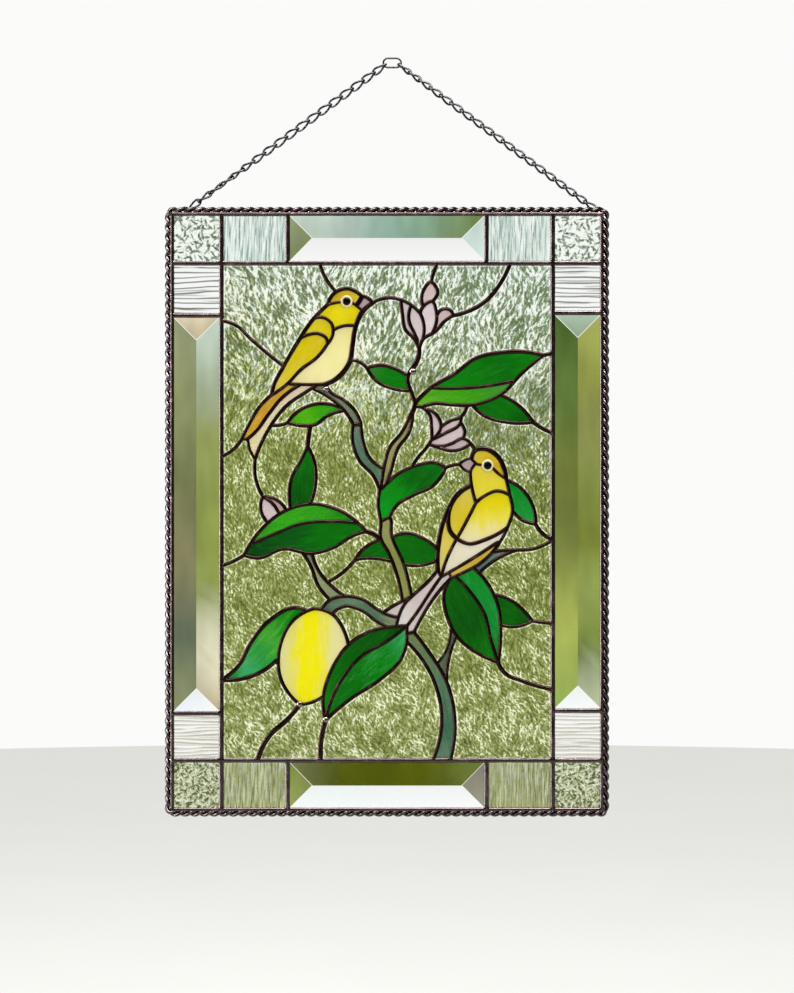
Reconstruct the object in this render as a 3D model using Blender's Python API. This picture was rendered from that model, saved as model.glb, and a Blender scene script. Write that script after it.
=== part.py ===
"""Stained glass panel of two songbirds on a lemon branch, hung from a curb chain.

The panel is drawn in millimetres, x to the right and z up, from the lower left corner of the picture
field. Seams are smooth curves through a few points each. Where they meet they close round the pieces of
glass, and every pane and its opening in the solder come from those loops. The model itself is in
metres: its origin is the middle of the top link's eye, its front faces -Y, and +Z is up.
"""
import math

import bmesh
import bpy
import numpy as np
from mathutils import Matrix, Vector

MM = 0.001

# Layout, from stock bevels of 6 and 12 inches by 1.5 inches round a field of 10 by 15 inches
INCH = 25.4
BORDER = 1.5 * INCH
FIELD_W = 10 * INCH
FIELD_H = 15 * INCH
BLOCK_W = 2 * INCH
LEFT_BEVEL_DROP = 2.0
PICTURE_SHIFT = np.array((0.8, -0.3))
HANG = np.array((130.9, 534.7))

# Thicknesses, and the clearance between neighbours
GLASS_T = 3.0
SOLDER_T = 5.0
RIDGE_RISE = 2.5
GAP = 0.3
OUTER_FOIL = 0.2
RIM_CHAMFER = 1.0

# Widths of the seams
THIN, FINE, MEDIUM, STOUT = 2.1, 2.4, 2.8, 3.4
BORDER_SEAM = 3.1
EDGE_SEAM = 3.8

# Twisted wire edge
ROPE_R = 2.4
ROPE_CORNER_R = 3.5
ROPE_CORNER_STEPS = 3

# Rings soldered behind the top edge, and the link that hangs from the hook
RING_X = {"left": -27.5, "right": 288.6}
RING_Z = 421.8
RING_BACK = 4.55
RING_R = 3.0
RING_WIRE_R = 0.75
RING_BEAD_R = 1.7
TOP_LINK_L = 15.0
TOP_LINK_W = 8.4
TOP_LINK_WIRE_R = 0.7

# Curb chain: links of each run, and the turn of a link about the run, in degrees at shares of its length
LINKS = {"left": 18, "right": 19}
LINK_TURNS = {
    "left": ((0, 30), (0.3, 60), (0.5, 30), (0.9, 0), (1, -30)),
    "right": ((0, 30), (0.15, 12), (0.6, 30), (1, 30)),
}
LINK_SWING = 40.0
LINK_W = 5.6
LINK_END = 0.45
LINK_WIRE_R = 0.6
LINK_BITE = 0.8
LINK_END_STEPS = 4
HOOKED_IN = 1.75

# How finely a seam is drawn, and how far apart seams may be and still meet
STEP = 1.0
TOLERANCE = 0.8
SHORTEST_SIDE = 1.3
REACH = 3.2
MERGE = 1.3
LOOK_AHEAD = 1.5
NEARLY_STRAIGHT = 0.05
LONGEST_MITRE = 1.6
LEEWAY = 0.06

# The picture: each seam is its width and the points that it passes through
SEAMS = {
    # Seams that tie the figures to the border
    "tie_top_left": (FINE, (74.5, 381), (79, 370), (87, 359.7)),
    "tie_top_flower": (FINE, (164.5, 381), (161.5, 373), (160, 367)),
    "tie_top_right": (MEDIUM, (220.5, 381), (215, 369), (200, 351), (186, 343.6), (177, 341.3)),
    "tie_left_back": (FINE, (-0.8, 337.3), (10, 334), (22, 323), (34, 312.6), (47, 302.3)),
    "tie_left_tail": (FINE, (-0.8, 233.2), (7, 237.5), (14.8, 246.5)),
    "tie_left_leaf": (FINE, (-0.8, 149.6), (8, 152.7), (16.5, 157.5)),
    "tie_great_leaf": (MEDIUM, (246, 310.8), (253.2, 312.3)),
    "tie_right_leaf": (MEDIUM, (238, 259.6), (245, 255), (253.2, 251.2)),
    "tie_back_leaf": (MEDIUM, (240, 181.5), (244.5, 175), (253.2, 169.4)),
    "tie_low_leaf": (FINE, (237.5, 107.2), (245, 106), (253.2, 105.5)),
    "tie_hanging_leaf": (MEDIUM, (211.3, 75.5), (216, 67.5), (230, 61), (253.2, 54.6)),
    "tie_lemon": (MEDIUM, (59.3, 43), (50, 31.8), (36, 19), (26.8, 0.3)),
    "tie_lemon_leaf": (STOUT, (79, 31), (76, 18), (75.2, 0.3)),
    # Bird at the upper left, looking right
    "left_back": (MEDIUM, (80, 350.5), (70, 339.3), (57.5, 320.5), (46.5, 301.5), (39.5, 288),
        (37.6, 280.3)),
    "left_crown": (FINE, (80, 350.5), (87, 359.3), (96, 361.9), (104, 358.6), (108.5, 356.3),
        (114.8, 350.6)),
    "left_chest": (FINE, (114.8, 350.6), (107.5, 344.3), (102, 332.5), (99.6, 318), (97.8, 306.8),
        (90.5, 295.5), (79, 288.6)),
    "left_cheek": (THIN, (80, 350.5), (90, 352.2), (99, 351.2), (107.3, 345)),
    "left_bill": (THIN, (106.3, 357.3), (104.2, 353.5), (104, 348.2)),
    "left_throat": (FINE, (84.9, 330), (91, 332.8), (102, 333.3)),
    "left_shoulder": (FINE, (69.5, 338.8), (77, 339.8), (83.6, 335), (84.4, 326), (80.4, 319.3)),
    "left_coverts": (FINE, (60, 323.9), (66, 326.6), (74, 327.2), (79.5, 323.8), (80.4, 319.3)),
    "left_wing": (FINE, (80.4, 319.3), (73, 309.6), (60, 299.6), (50, 289), (37.6, 280.3)),
    "left_vent": (FINE, (50.3, 288.9), (65, 288.3), (79, 288.6)),
    "left_tail_back": (FINE, (37.6, 280.3), (28, 270.6), (20.8, 258.5), (14.8, 246.5)),
    "left_tail_mid": (FINE, (60, 288.3), (46, 278.4), (35, 265), (25, 251.6), (18.6, 246.2)),
    "left_tail_low": (FINE, (73, 288.2), (64, 282.6), (49, 272), (38.5, 259), (30.5, 245), (25, 231)),
    "left_tail_tip": (THIN, (14.8, 246.5), (18.6, 246.2), (20.6, 239.5), (25, 231)),
    # Bird at the lower right, looking left
    "right_crown": (FINE, (190.8, 231.6), (194, 238), (202, 238.9), (211, 233.2), (215.8, 224),
        (217.3, 216)),
    "right_cheek": (THIN, (190.8, 231.6), (194.4, 227.9), (205, 226), (211, 220.4), (217.3, 216)),
    "right_bill_top": (THIN, (181.8, 227.3), (186.5, 230.7), (190.8, 231.6)),
    "right_bill_low": (THIN, (181.8, 227.3), (186, 222.8), (190, 221.4)),
    "right_bill_root": (THIN, (194.4, 227.9), (191.6, 224.6), (190, 221.4)),
    "right_throat": (FINE, (190, 221.4), (190.9, 211), (194.3, 197.8)),
    "right_nape": (FINE, (194.3, 197.8), (201, 203), (210, 206.7), (220, 203.6)),
    "right_side": (FINE, (217.3, 216), (220, 204.5), (222.3, 192), (218.5, 178.8), (209.5, 163)),
    "right_wing_edge": (FINE, (194.3, 197.8), (187.8, 185), (179.8, 170.3)),
    "right_wing_low": (FINE, (179.8, 170.3), (189, 166.3), (201, 169.3), (218.5, 178.8)),
    "left_wing_back": (FINE, (190.8, 211), (182.5, 206), (175.4, 196.7), (173, 186), (174.8, 175.5),
        (179.8, 170.3)),
    "right_flank": (MEDIUM, (175.4, 196.7), (169, 182), (165.5, 165), (165, 146)),
    "right_rump": (FINE, (179.8, 170.3), (174, 159.4), (167.6, 141)),
    "right_rump_low": (FINE, (211.7, 168.2), (199.5, 160), (181, 148.6), (167.6, 141)),
    "right_strip_low": (FINE, (209.5, 163), (198, 151.6), (187, 145.4), (175.5, 140.3)),
    "right_tail_left": (FINE, (165, 146), (157, 136.6), (147.5, 128), (140, 120.6), (135.6, 112),
        (133.2, 103)),
    "right_tail_mid": (FINE, (167.6, 141), (158.5, 128), (149, 113.5), (141.5, 103.4)),
    "right_tail_low": (FINE, (175.5, 140.3), (163, 126), (152.5, 109.6), (146.8, 98.4)),
    "right_feather": (FINE, (145.4, 126.3), (138.6, 122.8), (131, 118.7), (123.4, 113.6)),
    "right_flank_end": (FINE, (165, 146), (167.6, 141)),
    "right_strip_end": (THIN, (175.5, 140.3), (173.4, 144.2)),
    # Upper blossom and its bud
    "stem_bill": (FINE, (114.8, 350.6), (121, 353.8), (130, 354.8), (141, 351.5), (151.5, 343)),
    "upper_petal_1_left": (FINE, (136.8, 353.4), (138, 342), (140, 330.8), (147.5, 322.6), (150.8, 314)),
    "upper_petal_1_right": (FINE, (144.6, 348.9), (143.2, 336), (146.5, 329), (150.3, 320.5)),
    "upper_petal_2_right": (FINE, (151.5, 343), (154.5, 333), (153.5, 322.6)),
    "upper_petal_3": (FINE, (151.5, 343), (155, 349.3), (160.8, 352), (163.8, 345), (163.4, 334),
        (160.8, 327.8)),
    "upper_petal_4": (FINE, (163.9, 339.5), (168, 345.8), (173.5, 346), (177, 341.3)),
    "upper_petal_low": (FINE, (177, 341.3), (170.5, 337), (164, 329.6), (153.5, 322.6), (150.8, 314)),
    "upper_bud": (FINE, (153.8, 348), (152.9, 357), (160, 367), (164.9, 359.5), (160.8, 352)),
    "stem_upper_flower": (STOUT, (150.8, 314), (149.8, 308), (144.6, 299.5)),
    # Leaves at the top
    "chest_leaf_top": (FINE, (110.8, 300.9), (121, 303.2), (132, 300.6), (141.2, 295.6)),
    "chest_leaf_low": (FINE, (110.8, 300.9), (119.5, 290), (130, 285.5), (143.6, 283.7)),
    "tie_chest_leaf": (FINE, (98.2, 307.2), (103.5, 306.3), (110.8, 300.9)),
    "stem_chest_leaf": (MEDIUM, (144.6, 299.5), (141.8, 293), (145, 282), (147.8, 274)),
    "great_leaf_top": (FINE, (147.8, 274), (160, 286), (178, 296.6), (194, 308.4), (215, 313),
        (233, 313.3), (246, 310.8)),
    "great_leaf_low": (FINE, (246, 310.8), (231, 298.3), (213, 280.4), (193, 273), (176, 272.8),
        (162, 273.7), (152.5, 271)),
    "great_leaf_vein": (FINE, (160, 286), (178, 285.4), (200, 287), (222.3, 291)),
    "right_leaf_top": (FINE, (213, 280.4), (224, 274.6), (238, 259.6)),
    "right_leaf_low": (FINE, (191.5, 272.6), (202, 263.8), (216, 259.8), (238, 259.6)),
    # Lower blossom
    "stem_right": (STOUT, (147.8, 274), (145.6, 267), (143, 262.8)),
    "stem_lower_flower": (FINE, (144.5, 223.6), (150, 232.6), (157, 240.6), (160.4, 246)),
    "lower_petal_1_left": (FINE, (147.2, 271.3), (152.5, 271), (158.6, 265.5), (160.3, 255), (160.4, 246)),
    "lower_petal_1_right": (FINE, (156.8, 269.6), (165, 263.8), (167.4, 256.6), (160.4, 246)),
    "lower_petal_2_top": (FINE, (167.2, 255.6), (175, 260.6), (182.6, 263.4), (187.6, 272.4)),
    "lower_petal_3_top": (FINE, (160.4, 246), (171, 251.2), (182.4, 259), (182.8, 263.6)),
    "lower_petal_3_end": (FINE, (182.4, 259), (185.6, 252), (184.3, 247)),
    "lower_petal_4_top": (FINE, (158.6, 242.5), (169, 241.2), (176, 243.2), (184.3, 247), (190.3, 243)),
    "lower_petal_4_low": (FINE, (158.6, 242.5), (166, 240), (175, 237.6), (190.3, 243)),
    "tie_flower_crown": (MEDIUM, (190.3, 243), (194, 238)),
    # Leaves and buds at the left
    "tail_leaf_top": (FINE, (50, 259.2), (62, 270.2), (76, 273.8), (90.3, 270.6)),
    "tail_leaf_low": (FINE, (50, 259.2), (61, 256.8), (71, 257.6), (81, 264.6), (93.5, 268.4)),
    "tie_tail_leaf": (FINE, (37.2, 257.2), (43.5, 257.2), (50, 259.2)),
    "stem_upright_leaf": (STOUT, (67.3, 256.8), (66, 249), (65.2, 241)),
    "upright_leaf_left": (FINE, (65.2, 241), (60.4, 230.4), (53, 217), (51.2, 205), (52.2, 193)),
    "upright_leaf_right": (FINE, (65.2, 241), (71, 226), (71, 210), (67, 196.4)),
    "stem_bud": (FINE, (25, 231), (24.8, 220), (31, 202.4)),
    "bud_left": (FINE, (31, 202.4), (29.2, 194), (34.3, 183)),
    "bud_mid": (FINE, (31, 202.4), (38.5, 197), (43.6, 188.8)),
    "bud_right": (FINE, (31, 202.4), (40, 200.8), (49, 191.8)),
    "long_leaf_top": (FINE, (16.5, 157.5), (30.5, 178), (48, 191.5), (68, 196.7), (88, 192.5),
        (110, 175.8)),
    "long_leaf_vein": (FINE, (24.2, 166.6), (42, 174.8), (60, 181.5), (80, 183.4), (103.5, 182)),
    "long_leaf_low": (FINE, (16.5, 157.5), (27, 155.4), (47, 162.4), (68, 158.9), (86, 163.8),
        (100, 172.4), (110, 175.8)),
    "tie_long_leaf": (STOUT, (110, 175.8), (116, 173.6), (121, 169.4)),
    # Leaves about the trunk
    "middle_leaf_top": (FINE, (120.5, 207), (125.2, 211.4), (133, 218.7), (150, 226.6), (164, 228.2),
        (171, 224.6)),
    "middle_leaf_low": (FINE, (171, 224.6), (161, 210.4), (147, 203.9), (134, 196), (127.8, 186)),
    "tie_bill": (FINE, (171, 224.6), (176, 226.4), (181.8, 227.3)),
    "trunk_leaf_left_top": (FINE, (101.5, 154), (110, 163.8), (121, 169.4)),
    "trunk_leaf_left_low": (FINE, (101.5, 154), (113, 155.3), (129.8, 152.6)),
    "tie_trunk_leaf_left": (FINE, (101.5, 154), (92, 144), (81, 137.2)),
    "trunk_leaf_right_top": (FINE, (130.6, 171.6), (142, 174.3), (154, 170.4), (165.4, 161.5)),
    "trunk_leaf_right_low": (FINE, (139, 150.6), (150, 149.7), (165, 153.8)),
    "back_leaf_top": (FINE, (217.6, 215.4), (229, 208.6), (238, 195), (240, 181.5)),
    "back_leaf_low": (FINE, (223, 191), (230, 184.4), (240, 181.5)),
    # Branches and trunk
    "branch_1_top": (FINE, (79, 288.6), (83.5, 281.9), (92, 277.2), (102.5, 266.8), (106.2, 257.6)),
    "branch_1_low": (FINE, (69.5, 285.2), (80, 279.7), (93, 268.8), (100.3, 257.6)),
    "branch_joint": (MEDIUM, (100.3, 257.6), (106.2, 257.6)),
    "branch_2_right": (FINE, (106.2, 257.6), (107.6, 245.5), (112.5, 232.6), (123, 224)),
    "branch_2_left": (FINE, (100.3, 257.6), (99.8, 244), (105, 230), (116, 217.8), (120.5, 207)),
    "trunk_left": (FINE, (143, 262.8), (137, 251), (128.5, 240.6), (124, 226), (121.9, 213), (120.5, 207)),
    "trunk_right": (FINE, (145.6, 267), (142.5, 250.6), (134.6, 239.6), (129, 222), (125.2, 211.4)),
    "trunk_mid_left": (FINE, (120.5, 207), (119.4, 195), (121.4, 183), (121, 172), (128, 158),
        (134.5, 140), (137.8, 123)),
    "trunk_mid_right": (FINE, (121.4, 183), (127.8, 186), (129.6, 172.8), (138.8, 151), (144.6, 127.2)),
    "fork_left": (FINE, (61, 159.8), (67.5, 149.5), (73.5, 134), (82.5, 123.2)),
    "fork_right": (FINE, (68.5, 158.8), (74.5, 144.4), (83, 134.4), (94, 126)),
    "bough_top": (FINE, (76, 115.8), (82.5, 123.2), (94, 126), (106, 124.2), (119, 115.9), (126, 112.2),
        (135, 110)),
    "bough_low": (FINE, (84, 112.4), (94, 118.4), (106, 115.5), (118, 107), (127, 102.2)),
    "lower_trunk_left": (FINE, (141.3, 91), (151, 80.4), (162.4, 60.4), (168, 35), (161.4, 0.3)),
    "lower_trunk_right": (FINE, (146.8, 98.4), (158.5, 83), (171.6, 61), (178.3, 28), (174.6, 0.3)),
    "trunk_cap": (MEDIUM, (146.8, 98.4), (141.3, 97.8)),
    "twig_left": (THIN, (164.8, 74.8), (171, 83.5), (175, 101.3)),
    "twig_right": (FINE, (171.8, 60.6), (173, 76), (179.3, 95.6)),
    "right_bough_top": (FINE, (206.8, 159.8), (216, 161.2), (225, 161.4), (238, 162.3), (253.2, 169.4)),
    "right_bough_low": (FINE, (196.4, 143.4), (207, 152.5), (226, 161.4)),
    # Lemon and the leaves below it
    "lemon_left": (FINE, (70, 116.6), (55, 108.3), (43.8, 86), (44.4, 64), (59.3, 43)),
    "lemon_right": (FINE, (70, 116.6), (84, 112.4), (93.6, 98.6), (96.4, 89)),
    "lemon_low": (FINE, (59.3, 43), (67, 44.3), (77.4, 49.4)),
    "edge_leaf_top": (MEDIUM, (-0.8, 61.8), (12, 72.4), (22, 90.6), (36, 107.3), (57, 117.2), (64, 115.3)),
    "edge_leaf_low": (MEDIUM, (-0.8, 61.8), (14, 62.6), (30, 68.3), (42, 77.6)),
    "lemon_leaf_top": (FINE, (79, 31), (77, 46), (83, 68.4), (97, 89.2), (113, 99), (133, 103),
        (141.5, 103.4)),
    "lemon_leaf_vein": (FINE, (79, 31), (90.4, 60.6), (107, 80.4), (126, 91.4), (141.5, 103.4)),
    "lemon_leaf_low": (FINE, (79, 31), (99, 47.8), (121, 62.2), (136.6, 77.6), (141.3, 91)),
    "lemon_leaf_end": (FINE, (141.5, 103.4), (141.3, 97.8), (141.3, 91)),
    # Leaves at the lower right
    "hanging_leaf_left": (FINE, (175.5, 140.3), (170, 129), (172.3, 110), (180, 95), (196, 82.2),
        (211.3, 75.5)),
    "hanging_leaf_vein": (FINE, (178.5, 141.2), (191, 128), (201, 112), (205.6, 93), (211.3, 75.5)),
    "hanging_leaf_right": (FINE, (192, 148), (202, 137.5), (210.8, 120), (213.2, 98), (211.3, 75.5)),
    "low_leaf_top": (FINE, (208.6, 127.2), (220, 123.5), (230, 115.8), (237.5, 107.2)),
    "low_leaf_low": (FINE, (213.2, 104.2), (223, 102.7), (237.5, 107.2)),
}

# The glass that is a piece of its own: a point inside it and its colour. Blossoms, bills, stems and the
# clear ground are panes too, fused to the solder that holds them
PANES = {
    "left_bird_crown": (96, 357, "gold"),
    "left_bird_face": (92, 342, "yellow"),
    "left_bird_shoulder": (76, 333, "straw"),
    "left_bird_wing": (66, 315, "straw"),
    "left_bird_belly": (85, 310, "cream"),
    "left_bird_tail_top": (28, 262, "amber"),
    "left_bird_tail_low": (28, 250, "cream"),
    "right_bird_crown": (205, 233, "gold"),
    "right_bird_face": (202, 215, "yellow"),
    "right_bird_near_wing": (205, 190, "yellow"),
    "right_bird_far_wing": (182, 190, "straw"),
    "right_bird_flank": (169, 165, "straw"),
    "right_bird_rump": (182, 160, "cream"),
    "right_bird_strip": (195, 153, "amber"),
    "tail_feather_1": (145, 116, "petal"),
    "tail_feather_2": (156, 119, "petal"),
    "tail_feather_3": (131, 115, "petal"),
    "chest_leaf": (128, 295, "dark_green"),
    "great_leaf_upper": (205, 300, "dark_green"),
    "great_leaf_lower": (185, 279, "bright_green"),
    "right_leaf": (218, 269, "dark_green"),
    "tail_leaf": (70, 265, "bright_green"),
    "upright_leaf": (61, 215, "dark_green"),
    "long_leaf_upper": (60, 189, "bright_green"),
    "long_leaf_lower": (70, 171, "dark_green"),
    "middle_leaf": (145, 214, "dark_green"),
    "trunk_leaf_left": (117, 161, "dark_green"),
    "trunk_leaf_right": (147, 161, "dark_green"),
    "back_leaf": (231, 197, "emerald"),
    "hanging_leaf_dark": (185, 115, "dark_green"),
    "hanging_leaf_light": (206, 112, "emerald"),
    "low_leaf": (223, 113, "dark_green"),
    "edge_leaf": (33, 87, "bright_green"),
    "lemon_leaf_upper": (95, 77, "dark_green"),
    "lemon_leaf_lower": (115, 75, "emerald"),
    "lemon": (68, 80, "lemon"),
}

# Colour as sRGB hex, roughness and metallic value
FINISHES = {
    "gold": ("CDAA14", 0.15, 0.0),
    "yellow": ("E6D605", 0.15, 0.0),
    "straw": ("DAC423", 0.15, 0.0),
    "amber": ("D2AE34", 0.15, 0.0),
    "cream": ("F2E8A8", 0.15, 0.0),
    "petal": ("E8DED7", 0.15, 0.0),
    "dark_green": ("046A10", 0.15, 0.0),
    "bright_green": ("3CA018", 0.15, 0.0),
    "emerald": ("0A8C3C", 0.15, 0.0),
    "lemon": ("EDE05A", 0.15, 0.0),
    "clear": ("DDE8DC", 0.05, 0.0),
    "patina": ("4A2A26", 0.4, 1.0),
    "gunmetal": ("17191A", 0.35, 1.0),
}


def smooth_curve(points):
    """Points every STEP along a smooth curve through the given ones."""
    points = np.array(points, float)
    if len(points) == 2:
        return points
    spans = np.linalg.norm(np.diff(points, axis=0), axis=1)
    ways = np.diff(points, axis=0) / spans[:, None]
    tangents = np.zeros_like(points)
    for i in range(1, len(points) - 1):
        tangents[i] = (ways[i - 1] * spans[i] + ways[i] * spans[i - 1]) / (spans[i - 1] + spans[i])
    tangents[0] = 2 * ways[0] - tangents[1]
    tangents[-1] = 2 * ways[-1] - tangents[-2]
    curve = [points[0]]
    for i, span in enumerate(spans):
        count = max(1, math.ceil(span / STEP))
        for u in np.arange(1, count + 1) / count:
            start = (2 * u**3 - 3 * u**2 + 1) * points[i] + (u**3 - 2 * u**2 + u) * span * tangents[i]
            end = (3 * u**2 - 2 * u**3) * points[i + 1] + (u**3 - u**2) * span * tangents[i + 1]
            curve.append(start + end)
    return np.array(curve)


def nearest_on(line, point):
    """The nearest place on a line: its distance, how many points along it is, and the place."""
    starts, steps = line[:-1], np.diff(line, axis=0)
    share = ((point - starts) * steps).sum(axis=1) / (steps * steps).sum(axis=1)
    share = np.clip(share, 0, 1)
    places = starts + steps * share[:, None]
    distances = np.linalg.norm(places - point, axis=1)
    i = int(distances.argmin())
    return distances[i], i + share[i], places[i]


def border_seams():
    """The straight seams of the border, as width and two ends."""
    right, top = FIELD_W + BORDER, FIELD_H + BORDER
    seams = []
    for z in (0, FIELD_H):
        seams.append((BORDER_SEAM, (-BORDER, z), (right, z)))
    for x in (0, FIELD_W):
        seams.append((BORDER_SEAM, (x, 0), (x, FIELD_H)))
    for z in (-BORDER, top):
        seams.append((EDGE_SEAM, (-BORDER, z), (right, z)))
    for x in (-BORDER, right):
        seams.append((EDGE_SEAM, (x, -BORDER), (x, top)))
    for x in (0, BLOCK_W, FIELD_W - BLOCK_W, FIELD_W):
        seams.append((BORDER_SEAM, (x, -BORDER), (x, 0)))
        seams.append((BORDER_SEAM, (x, FIELD_H), (x, top)))
    for start, end, drop in ((-BORDER, 0, LEFT_BEVEL_DROP), (FIELD_W, right, 0)):
        for z in (BORDER - drop, FIELD_H - BORDER - drop):
            seams.append((BORDER_SEAM, (start, z), (end, z)))
    return seams


def all_seams():
    """Width and line of every seam, the border's first."""
    seams = [(width, np.array(ends, float)) for width, *ends in border_seams()]
    for width, *points in SEAMS.values():
        seams.append((width, smooth_curve(np.array(points) + PICTURE_SHIFT)))
    return seams


def cut_at_joints(seams):
    """Every seam cut into pieces that run from joint to joint, as (width, points)."""
    joints = []

    def joint_at(place):
        for i, known in enumerate(joints):
            if math.dist(place, known) < MERGE:
                return i
        joints.append(tuple(place))
        return len(joints) - 1

    ends = []
    for i, (_, line) in enumerate(seams):
        others = [other for j, (_, other) in enumerate(seams) if j != i]
        pair = []
        for end in (line[0], line[-1]):
            found = [nearest_on(other, end) for other in others]
            distance, _, place = min(found, key=lambda nearest: nearest[0])
            if distance > REACH:
                raise ValueError(f"a seam ends loose at {end}")
            pair.append(joint_at(place))
        ends.append(pair)

    pieces = []
    for (width, line), (first, last) in zip(seams, ends):
        stops = [(0.0, first), (len(line) - 1.0, last)]
        for i, place in enumerate(joints):
            distance, along, _ = nearest_on(line, np.array(place))
            if i not in (first, last) and distance < 0.9 * MERGE and 0 < along < len(line) - 1:
                stops.append((along, i))
        stops.sort()
        for (start, a), (stop, b) in zip(stops, stops[1:]):
            between = [tuple(point) for point in line[math.ceil(start + 1e-6):math.ceil(stop - 1e-6)]]
            two = (joints[a], joints[b])
            clear = [point for point in between if min(math.dist(point, joint) for joint in two) > STEP / 2.5]
            pieces.append((width, [two[0], *clear, two[1]]))
    return pieces


def heading(line):
    """Direction in which a line leaves its first point, taken a little way along."""
    travelled = 0.0
    for here, there in zip(line, line[1:]):
        travelled += math.dist(here, there)
        if travelled > LOOK_AHEAD:
            break
    return math.atan2(there[1] - line[0][1], there[0] - line[0][0])


def area_of(loop):
    """Area of a loop, positive when it runs counter-clockwise."""
    x, z = np.array(loop).T
    return 0.5 * float((x * np.roll(z, -1) - np.roll(x, -1) * z).sum())


def trace_loops(pieces):
    """The loop of seam round each piece of glass: its points and each side's seam width."""
    ways = []
    for width, line in pieces:
        ways += [(width, line), (width, line[::-1])]
    leaving = {}
    for k, (_, line) in enumerate(ways):
        leaving.setdefault(line[0], []).append(k)
    for ring in leaving.values():
        ring.sort(key=lambda k: heading(ways[k][1]))
    loops, used = [], set()
    for first in range(len(ways)):
        points, widths, k = [], [], first
        while k not in used:
            used.add(k)
            width, line = ways[k]
            points += line[:-1]
            widths += [width] * (len(line) - 1)
            ring = leaving[line[-1]]
            k = ring[ring.index(k ^ 1) - 1]
        if points and area_of(points) > 0:
            loops.append((points, widths))
    return loops


def inset(loop, distances):
    """The loop moved inward by a distance for each side, without the parts that end up too near it."""
    here = np.array(loop, float)
    count = len(here)
    sides = np.roll(here, -1, axis=0) - here
    ways = sides / np.linalg.norm(sides, axis=1)[:, None]
    inward = np.stack([-ways[:, 1], ways[:, 0]], axis=1) * np.array(distances)[:, None]
    moved = []
    for i in range(count):
        before = (i - 1) % count
        turn = ways[before][0] * ways[i][1] - ways[before][1] * ways[i][0]
        left, right = here[i] + inward[before], here[i] + inward[i]
        if abs(turn) < NEARLY_STRAIGHT:
            moved.append((left + right) / 2)
            continue
        reach = ((right - left)[0] * ways[i][1] - (right - left)[1] * ways[i][0]) / turn
        corner = left + ways[before] * reach
        if turn < 0 and math.dist(corner, here[i]) > LONGEST_MITRE * max(distances[before], distances[i]):
            moved += [left, right]
        else:
            moved.append(corner)
    moved = np.array(moved)
    offset = moved[:, None] - here[None]
    share = np.clip((offset * sides).sum(axis=2) / (sides * sides).sum(axis=1), 0, 1)
    nearness = np.linalg.norm(offset - share[:, :, None] * sides, axis=2) - np.array(distances)
    return uncrossed(moved[nearness.min(axis=1) > -LEEWAY])


def uncrossed(loop):
    """The loop with each small knot, where it crosses itself, cut off at the crossing."""
    while True:
        sides = np.roll(loop, -1, axis=0) - loop
        offset = loop[None] - loop[:, None]
        height = sides[:, None, 0] * offset[:, :, 1] - sides[:, None, 1] * offset[:, :, 0]
        next_height = np.roll(height, -1, axis=1)
        parted = height * next_height < 0
        crossings = np.argwhere(parted & parted.T)
        if len(crossings) == 0:
            return loop
        i, j = crossings[0]
        place = loop[j] + sides[j] * height[i, j] / (height[i, j] - next_height[i, j])
        between = loop[i + 1:j + 1]
        if len(between) > len(loop) / 2:
            loop = np.vstack([place, between])
        else:
            loop = np.vstack([loop[:i + 1], place, loop[j + 1:]])


def simplify(loop):
    """The fewest of a loop's points that stay within TOLERANCE of it."""
    middle = loop.mean(axis=0)
    first = int(np.linalg.norm(loop - middle, axis=1).argmax())
    line = np.roll(loop, -first, axis=0)
    line = np.vstack([line, line[:1]])

    def kept_between(a, b):
        if b - a < 2:
            return []
        chord = line[b] - line[a]
        offsets = line[a + 1:b] - line[a]
        distances = abs(chord[0] * offsets[:, 1] - chord[1] * offsets[:, 0]) / np.linalg.norm(chord)
        if distances.max() < TOLERANCE:
            return []
        k = a + 1 + int(distances.argmax())
        return kept_between(a, k) + [k] + kept_between(k, b)

    far = int(np.linalg.norm(line - line[0], axis=1).argmax())
    kept = [0] + kept_between(0, far) + [far] + kept_between(far, len(line) - 1)
    outline = [line[kept[0]]]
    for k in kept[1:]:
        if math.dist(line[k], outline[-1]) > SHORTEST_SIDE:
            outline.append(line[k])
    if math.dist(outline[0], outline[-1]) < SHORTEST_SIDE:
        outline.pop()
    return uncrossed(np.array(outline))


def is_inside(loop, x, z):
    """Whether a point lies inside a loop."""
    inside = False
    for (x0, z0), (x1, z1) in zip(loop, np.roll(loop, -1, axis=0)):
        if (z0 > z) != (z1 > z) and x < (x1 - x0) * (z - z0) / (z1 - z0) + x0:
            inside = not inside
    return inside


def border_panes():
    """A point inside each piece of the border, by name."""
    panes = {}
    for end, z in (("bottom", -BORDER / 2), ("top", FIELD_H + BORDER / 2)):
        panes[f"bevel_{end}"] = (FIELD_W / 2, z)
        for side, corner_x, block_x in (("left", -BORDER / 2, BLOCK_W / 2),
                                        ("right", FIELD_W + BORDER / 2, FIELD_W - BLOCK_W / 2)):
            panes[f"corner_square_{end}_{side}"] = (corner_x, z)
            panes[f"reeded_block_{end}_{side}"] = (block_x, z)
    for side, x in (("left", -BORDER / 2), ("right", FIELD_W + BORDER / 2)):
        panes[f"bevel_{side}"] = (x, FIELD_H / 2)
        panes[f"ribbed_block_{side}_bottom"] = (x, BORDER / 2)
        panes[f"ribbed_block_{side}_top"] = (x, FIELD_H - BORDER / 2)
    return panes


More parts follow.
